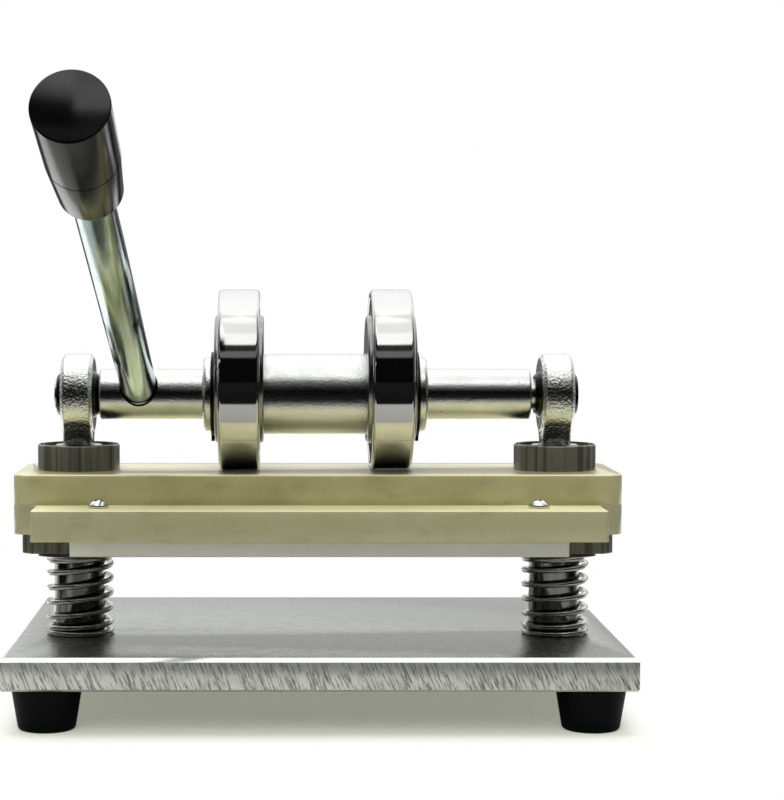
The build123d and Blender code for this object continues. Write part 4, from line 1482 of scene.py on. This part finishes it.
# ---------------------------------------------------------------- studio
@dataclass
class Studio:
    """Pale floor, the room as metal mirrors it, soft lights and the camera of the photograph.

    Each wall is a row of (elevation in degrees, light), and its light runs in straight lines
    between them. A fade is the pair of places between which something comes in by a smooth step.
    """

    camera_place: tuple[float, float, float] = (-16.3 * MM, -864.9 * MM, 135.8 * MM)
    camera_pitch: float = 2.888
    focal_pixels: float = 2200.0
    frame_width: float = 784.0
    frame_height: float = 800.0
    principal_x: float = 275.4
    sensor_mm: float = 36.0
    floor_half: float = 4.0
    paper: str = "#F4F4EE"
    near_paper: str = "#A0A09B"
    rear_paper: str = "#F4F4F0"
    distant_paper: str = "#181818"
    unlit_paper: str = "#0C0C0C"
    front_fade: tuple[float, float] = (-0.255, -0.235)
    side_fade: tuple[float, float] = (0.30, 0.24)
    side_spread: float = 1.5
    rear_fade: tuple[float, float] = (0.08, 0.16)
    distance_fade: tuple[float, float] = (0.7, 1.1)
    table_depth: float = 162.5 * MM
    shade_inset: float = 6.0 * MM
    shade_width: float = 14.0 * MM
    shade_glow: float = 0.33
    shade_tint: str = "#E0E6C4"
    corner_fade: tuple[float, float] = (-0.100, -0.107)
    wall_fade: tuple[float, float] = (radians(48), radians(68))
    back_fade: tuple[float, float] = (radians(100), radians(135))
    aim: tuple[float, float, float] = (0.0, 0.0, 0.05)
    walls: dict[str, tuple] = field(default_factory=lambda: {
        "front": ((-90, 0.4), (-36, 0.3), (-33, 0.004), (28.5, 0.004), (30.5, 0.2), (37, 0.2),
                  (39, 0.03), (45.5, 0.04), (47.5, 1.65), (61, 1.6), (65, 1.3), (76, 1.35),
                  (80, 1.65), (90, 1.7)),
        "corner": ((-90, 0.4), (-36, 0.3), (-33, 0.004), (28.5, 0.004), (30.5, 0.2), (36, 0.2),
                   (38, 0.004), (50, 0.004), (58, 1.5), (66, 2.0), (90, 1.3)),
        "left": ((-90, 0.4), (-5, 0.15), (30, 0.12), (46, 0.3), (62, 1.0), (90, 1.3)),
        "right": ((-90, 0.3), (-5, 0.12), (30, 0.10), (46, 0.25), (62, 1.0), (90, 1.3)),
        "back": ((-90, 0.5), (-3, 0.3), (0, 0.12), (2.0, 0.12), (3.0, 1.1), (5, 0.95), (7.5, 0.6),
                 (11, 0.66), (16, 1.15), (30, 1.35), (90, 1.7))})

    def camera(self) -> None:
        """Sets the camera: the focal length and the side shift follow from the picture's pixels."""
        data = bpy.data.cameras.new("studio_camera")
        data.sensor_fit = "VERTICAL"
        data.sensor_height = self.sensor_mm
        data.lens = self.focal_pixels * self.sensor_mm / self.frame_height
        data.shift_x = (self.frame_width / 2 - self.principal_x) / self.frame_height
        camera = bpy.data.objects.new("studio_camera", data)
        camera.location = self.camera_place
        camera.rotation_euler = (radians(90 - self.camera_pitch), 0, 0)
        bpy.context.scene.collection.objects.link(camera)
        bpy.context.scene.camera = camera

    def mirrored_paper(self, tree: bpy.types.NodeTree, place: bpy.types.NodeSocket) -> bpy.types.NodeSocket:
        """Works out the paper's colour as metal mirrors it, by the place on the floor.

        It is grey near the machine, white behind it and dark far away. In front of the machine
        and past its sides it counts as unlit; the lit part widens behind the machine, where the
        distance aside is less the depth times the spread.

        Args:
            tree: the paper's node tree.
            place: the socket of the object coordinates.

        Returns:
            The socket of the colour.
        """
        parts = add_node(tree, "ShaderNodeSeparateXYZ", inputs={0: place})
        near = add_node(tree, "ShaderNodeMapRange", {"interpolation_type": "SMOOTHSTEP"}, {
            "Value": parts.outputs["Y"], "From Min": self.front_fade[0], "From Max": self.front_fade[1]})
        aside = add_node(tree, "ShaderNodeMath", {"operation": "ABSOLUTE"}, {0: parts.outputs["X"]})
        behind = add_node(tree, "ShaderNodeMath", {"operation": "MULTIPLY_ADD"}, {
            0: parts.outputs["Y"], 1: -self.side_spread, 2: aside.outputs[0]})
        beside = add_node(tree, "ShaderNodeMath", {"operation": "MINIMUM"}, {
            0: aside.outputs[0], 1: behind.outputs[0]})
        inside = add_node(tree, "ShaderNodeMapRange", {"interpolation_type": "SMOOTHSTEP"}, {
            "Value": beside.outputs[0], "From Min": self.side_fade[0], "From Max": self.side_fade[1]})
        lit = add_node(tree, "ShaderNodeMath", {"operation": "MULTIPLY"}, {
            0: near.outputs["Result"], 1: inside.outputs["Result"]})
        rear = add_node(tree, "ShaderNodeMapRange", {"interpolation_type": "SMOOTHSTEP"}, {
            "Value": parts.outputs["Y"], "From Min": self.rear_fade[0], "From Max": self.rear_fade[1]})
        tone = add_node(tree, "ShaderNodeMix", {"data_type": "RGBA"}, {
            0: rear.outputs["Result"], 6: linear(self.near_paper), 7: linear(self.rear_paper)})
        distance = add_node(tree, "ShaderNodeVectorMath", {"operation": "LENGTH"}, {0: place})
        distant = add_node(tree, "ShaderNodeMapRange", {"interpolation_type": "SMOOTHSTEP"}, {
            "Value": distance.outputs["Value"], "From Min": self.distance_fade[0],
            "From Max": self.distance_fade[1]})
        receding = add_node(tree, "ShaderNodeMix", {"data_type": "RGBA"}, {
            0: distant.outputs["Result"], 6: tone.outputs[2], 7: linear(self.distant_paper)})
        return add_node(tree, "ShaderNodeMix", {"data_type": "RGBA"}, {
            0: lit.outputs[0], 6: linear(self.unlit_paper), 7: receding.outputs[2]}).outputs[2]

    def clear_of_table(self, tree: bpy.types.NodeTree, place: bpy.types.NodeSocket) -> bpy.types.NodeSocket:
        """Works out how clear of the table a place on the floor is.

        The larger of the distances past the table's sides and past its front or rear, from a
        rectangle a little narrower than the table, is taken through a smooth step.

        Args:
            tree: the paper's node tree.
            place: the socket of the object coordinates.

        Returns:
            The socket of a share, from the shade's glow under the table to one outside it.
        """
        high = CAD_BOX[1]
        middle = (0.0, high[1] - self.table_depth / 2, 0.0)
        half = (high[0] - self.shade_inset, self.table_depth / 2, 1.0)
        offset = add_node(tree, "ShaderNodeVectorMath", {"operation": "SUBTRACT"}, {0: place, 1: middle})
        size = add_node(tree, "ShaderNodeVectorMath", {"operation": "ABSOLUTE"}, {0: offset.outputs[0]})
        past = add_node(tree, "ShaderNodeVectorMath", {"operation": "SUBTRACT"}, {
            0: size.outputs[0], 1: half})
        sides = add_node(tree, "ShaderNodeSeparateXYZ", inputs={0: past.outputs[0]})
        reach = add_node(tree, "ShaderNodeMath", {"operation": "MAXIMUM"}, {
            0: sides.outputs["X"], 1: sides.outputs["Y"]})
        return add_node(tree, "ShaderNodeMapRange", {"interpolation_type": "SMOOTHSTEP"}, {
            "Value": reach.outputs[0], "From Min": 0.0, "From Max": self.shade_width,
            "To Min": self.shade_glow, "To Max": 1.0}).outputs["Result"]

    def floor(self) -> None:
        """Lays the floor: matt paper that the camera sees white, with the machine's soft shade."""
        level = CAD_BOX[0][2]
        line = np.linspace(-self.floor_half, self.floor_half, 3)
        x, y = np.meshgrid(line, line, indexing="ij")
        grid = np.stack([x, y, np.full_like(x, level)], axis=-1)
        floor = make_piece("studio_floor", [Grid(grid, columns_join=False)])
        made = bpy.data.materials.new("matt_white_paper")
        made.use_nodes = True
        tree = made.node_tree
        shader = tree.nodes["Principled BSDF"]
        shader.inputs["Roughness"].default_value = 0.9
        shader.inputs["Specular IOR Level"].default_value = 0.1
        rays = add_node(tree, "ShaderNodeLightPath")
        place = add_node(tree, "ShaderNodeTexCoord").outputs["Object"]
        paper = add_node(tree, "ShaderNodeMix", {"data_type": "RGBA"}, {
            0: rays.outputs["Is Glossy Ray"], 6: linear(self.paper), 7: self.mirrored_paper(tree, place)})
        tree.links.new(paper.outputs[2], shader.inputs["Base Color"])

        clear = self.clear_of_table(tree, place)
        share = add_node(tree, "ShaderNodeMath", {"operation": "MULTIPLY"}, {
            0: clear, 1: rays.outputs["Is Camera Ray"]})
        tint = add_node(tree, "ShaderNodeMix", {"data_type": "RGBA"}, {
            0: clear, 6: linear(self.shade_tint), 7: grey(1.0)})
        glow = add_node(tree, "ShaderNodeEmission", inputs={"Color": tint.outputs[2], "Strength": 1.0})
        surface = add_node(tree, "ShaderNodeMixShader", inputs={
            0: share.outputs[0], 1: shader.outputs[0], 2: glow.outputs[0]})
        tree.links.new(surface.outputs[0], tree.nodes["Material Output"].inputs["Surface"])
        floor.data.materials.append(made)

    def wall(self, tree: bpy.types.NodeTree, height: bpy.types.NodeSocket,
             bands: Sequence[tuple[float, float]]) -> bpy.types.NodeSocket:
        """Adds the light of one wall by the height of the direction that is looked in.

        Args:
            tree: the room's node tree.
            height: the socket of the direction's Z, moved from the range -1 to 1 to 0 to 1.
            bands: rows of elevation in degrees and light.

        Returns:
            The socket of the wall's colour.
        """
        node = add_node(tree, "ShaderNodeValToRGB", inputs={"Fac": height})
        stops = node.color_ramp.elements
        while len(stops) < len(bands):
            stops.new(0.5)
        for stop, (elevation, light) in zip(stops, bands):
            stop.position = (sin(radians(elevation)) + 1) / 2
            stop.color = grey(light)
        return node.outputs["Color"]

    def room(self) -> None:
        """Sets the room: white for the camera, bright above and behind, dark on the camera's side.

        The angle round the machine is the arc tangent of X over -Y: zero towards the camera.
        """
        world = bpy.data.worlds.new("studio_room")
        bpy.context.scene.world = world
        world.use_nodes = True
        tree = world.node_tree
        tree.nodes.clear()
        direction = add_node(tree, "ShaderNodeTexCoord").outputs["Generated"]
        parts = add_node(tree, "ShaderNodeSeparateXYZ", inputs={0: direction})
        height = add_node(tree, "ShaderNodeMapRange", inputs={
            "Value": parts.outputs["Z"], "From Min": -1.0, "From Max": 1.0}).outputs["Result"]
        ahead = add_node(tree, "ShaderNodeMath", {"operation": "MULTIPLY"}, {
            0: parts.outputs["Y"], 1: -1.0})
        round_about = add_node(tree, "ShaderNodeMath", {"operation": "ARCTAN2"}, {
            0: parts.outputs["X"], 1: ahead.outputs[0]}).outputs[0]
        aside = add_node(tree, "ShaderNodeMath", {"operation": "ABSOLUTE"}, {0: round_about}).outputs[0]
        first, last = self.wall_fade
        colour = self.wall(tree, height, self.walls["front"])
        for name, gauge, fade in (("corner", parts.outputs["X"], self.corner_fade),
                                  ("left", round_about, (-first, -last)),
                                  ("right", round_about, (first, last)),
                                  ("back", aside, self.back_fade)):
            share = add_node(tree, "ShaderNodeMapRange", {"interpolation_type": "SMOOTHSTEP"}, {
                "Value": gauge, "From Min": fade[0], "From Max": fade[1]})
            colour = add_node(tree, "ShaderNodeMix", {"data_type": "RGBA"}, {
                0: share.outputs["Result"], 6: colour,
                7: self.wall(tree, height, self.walls[name])}).outputs[2]
        rays = add_node(tree, "ShaderNodeLightPath")
        seen = add_node(tree, "ShaderNodeMix", {"data_type": "RGBA"}, {
            0: rays.outputs["Is Camera Ray"], 6: colour, 7: grey(1.0)})
        shine = add_node(tree, "ShaderNodeBackground", inputs={"Color": seen.outputs[2], "Strength": 1.0})
        add_node(tree, "ShaderNodeOutputWorld", inputs={"Surface": shine.outputs[0]})

    def lamp(self, name: str, place: Vector, size: float, power: float) -> None:
        """Hangs one square soft light that faces the machine and shows in no mirror.

        Args:
            name: the lamp's name.
            place: its middle, in metres.
            size: its edge length, in metres.
            power: its power in watts.
        """
        data = bpy.data.lights.new(name, "AREA")
        data.shape = "SQUARE"
        data.size = size
        data.energy = power
        lamp = bpy.data.objects.new(name, data)
        lamp.location = place
        lamp.visible_glossy = False
        lamp.rotation_euler = (Vector(self.aim) - place).to_track_quat("-Z", "Y").to_euler()
        bpy.context.scene.collection.objects.link(lamp)

    def build(self) -> None:
        """Builds the studio."""
        self.camera()
        self.floor()
        self.room()
        self.lamp("overhead_softbox", Vector((-0.1, 0.15, 1.25)), size=1.3, power=14.0)
        self.lamp("front_softbox", Vector((-0.25, -1.3, 1.0)), size=0.9, power=14.0)
        bpy.context.scene.view_settings.view_transform = "Standard"


def main() -> None:
    """Builds the studio and every sub-assembly in order."""
    Studio().build()
    for assembly in (Table(), GuidePosts(), RodEnds(), Platen(), Crank()):
        assembly.build()
        log.info("built %s", type(assembly).__name__)


if __name__ == "__main__":
    main()
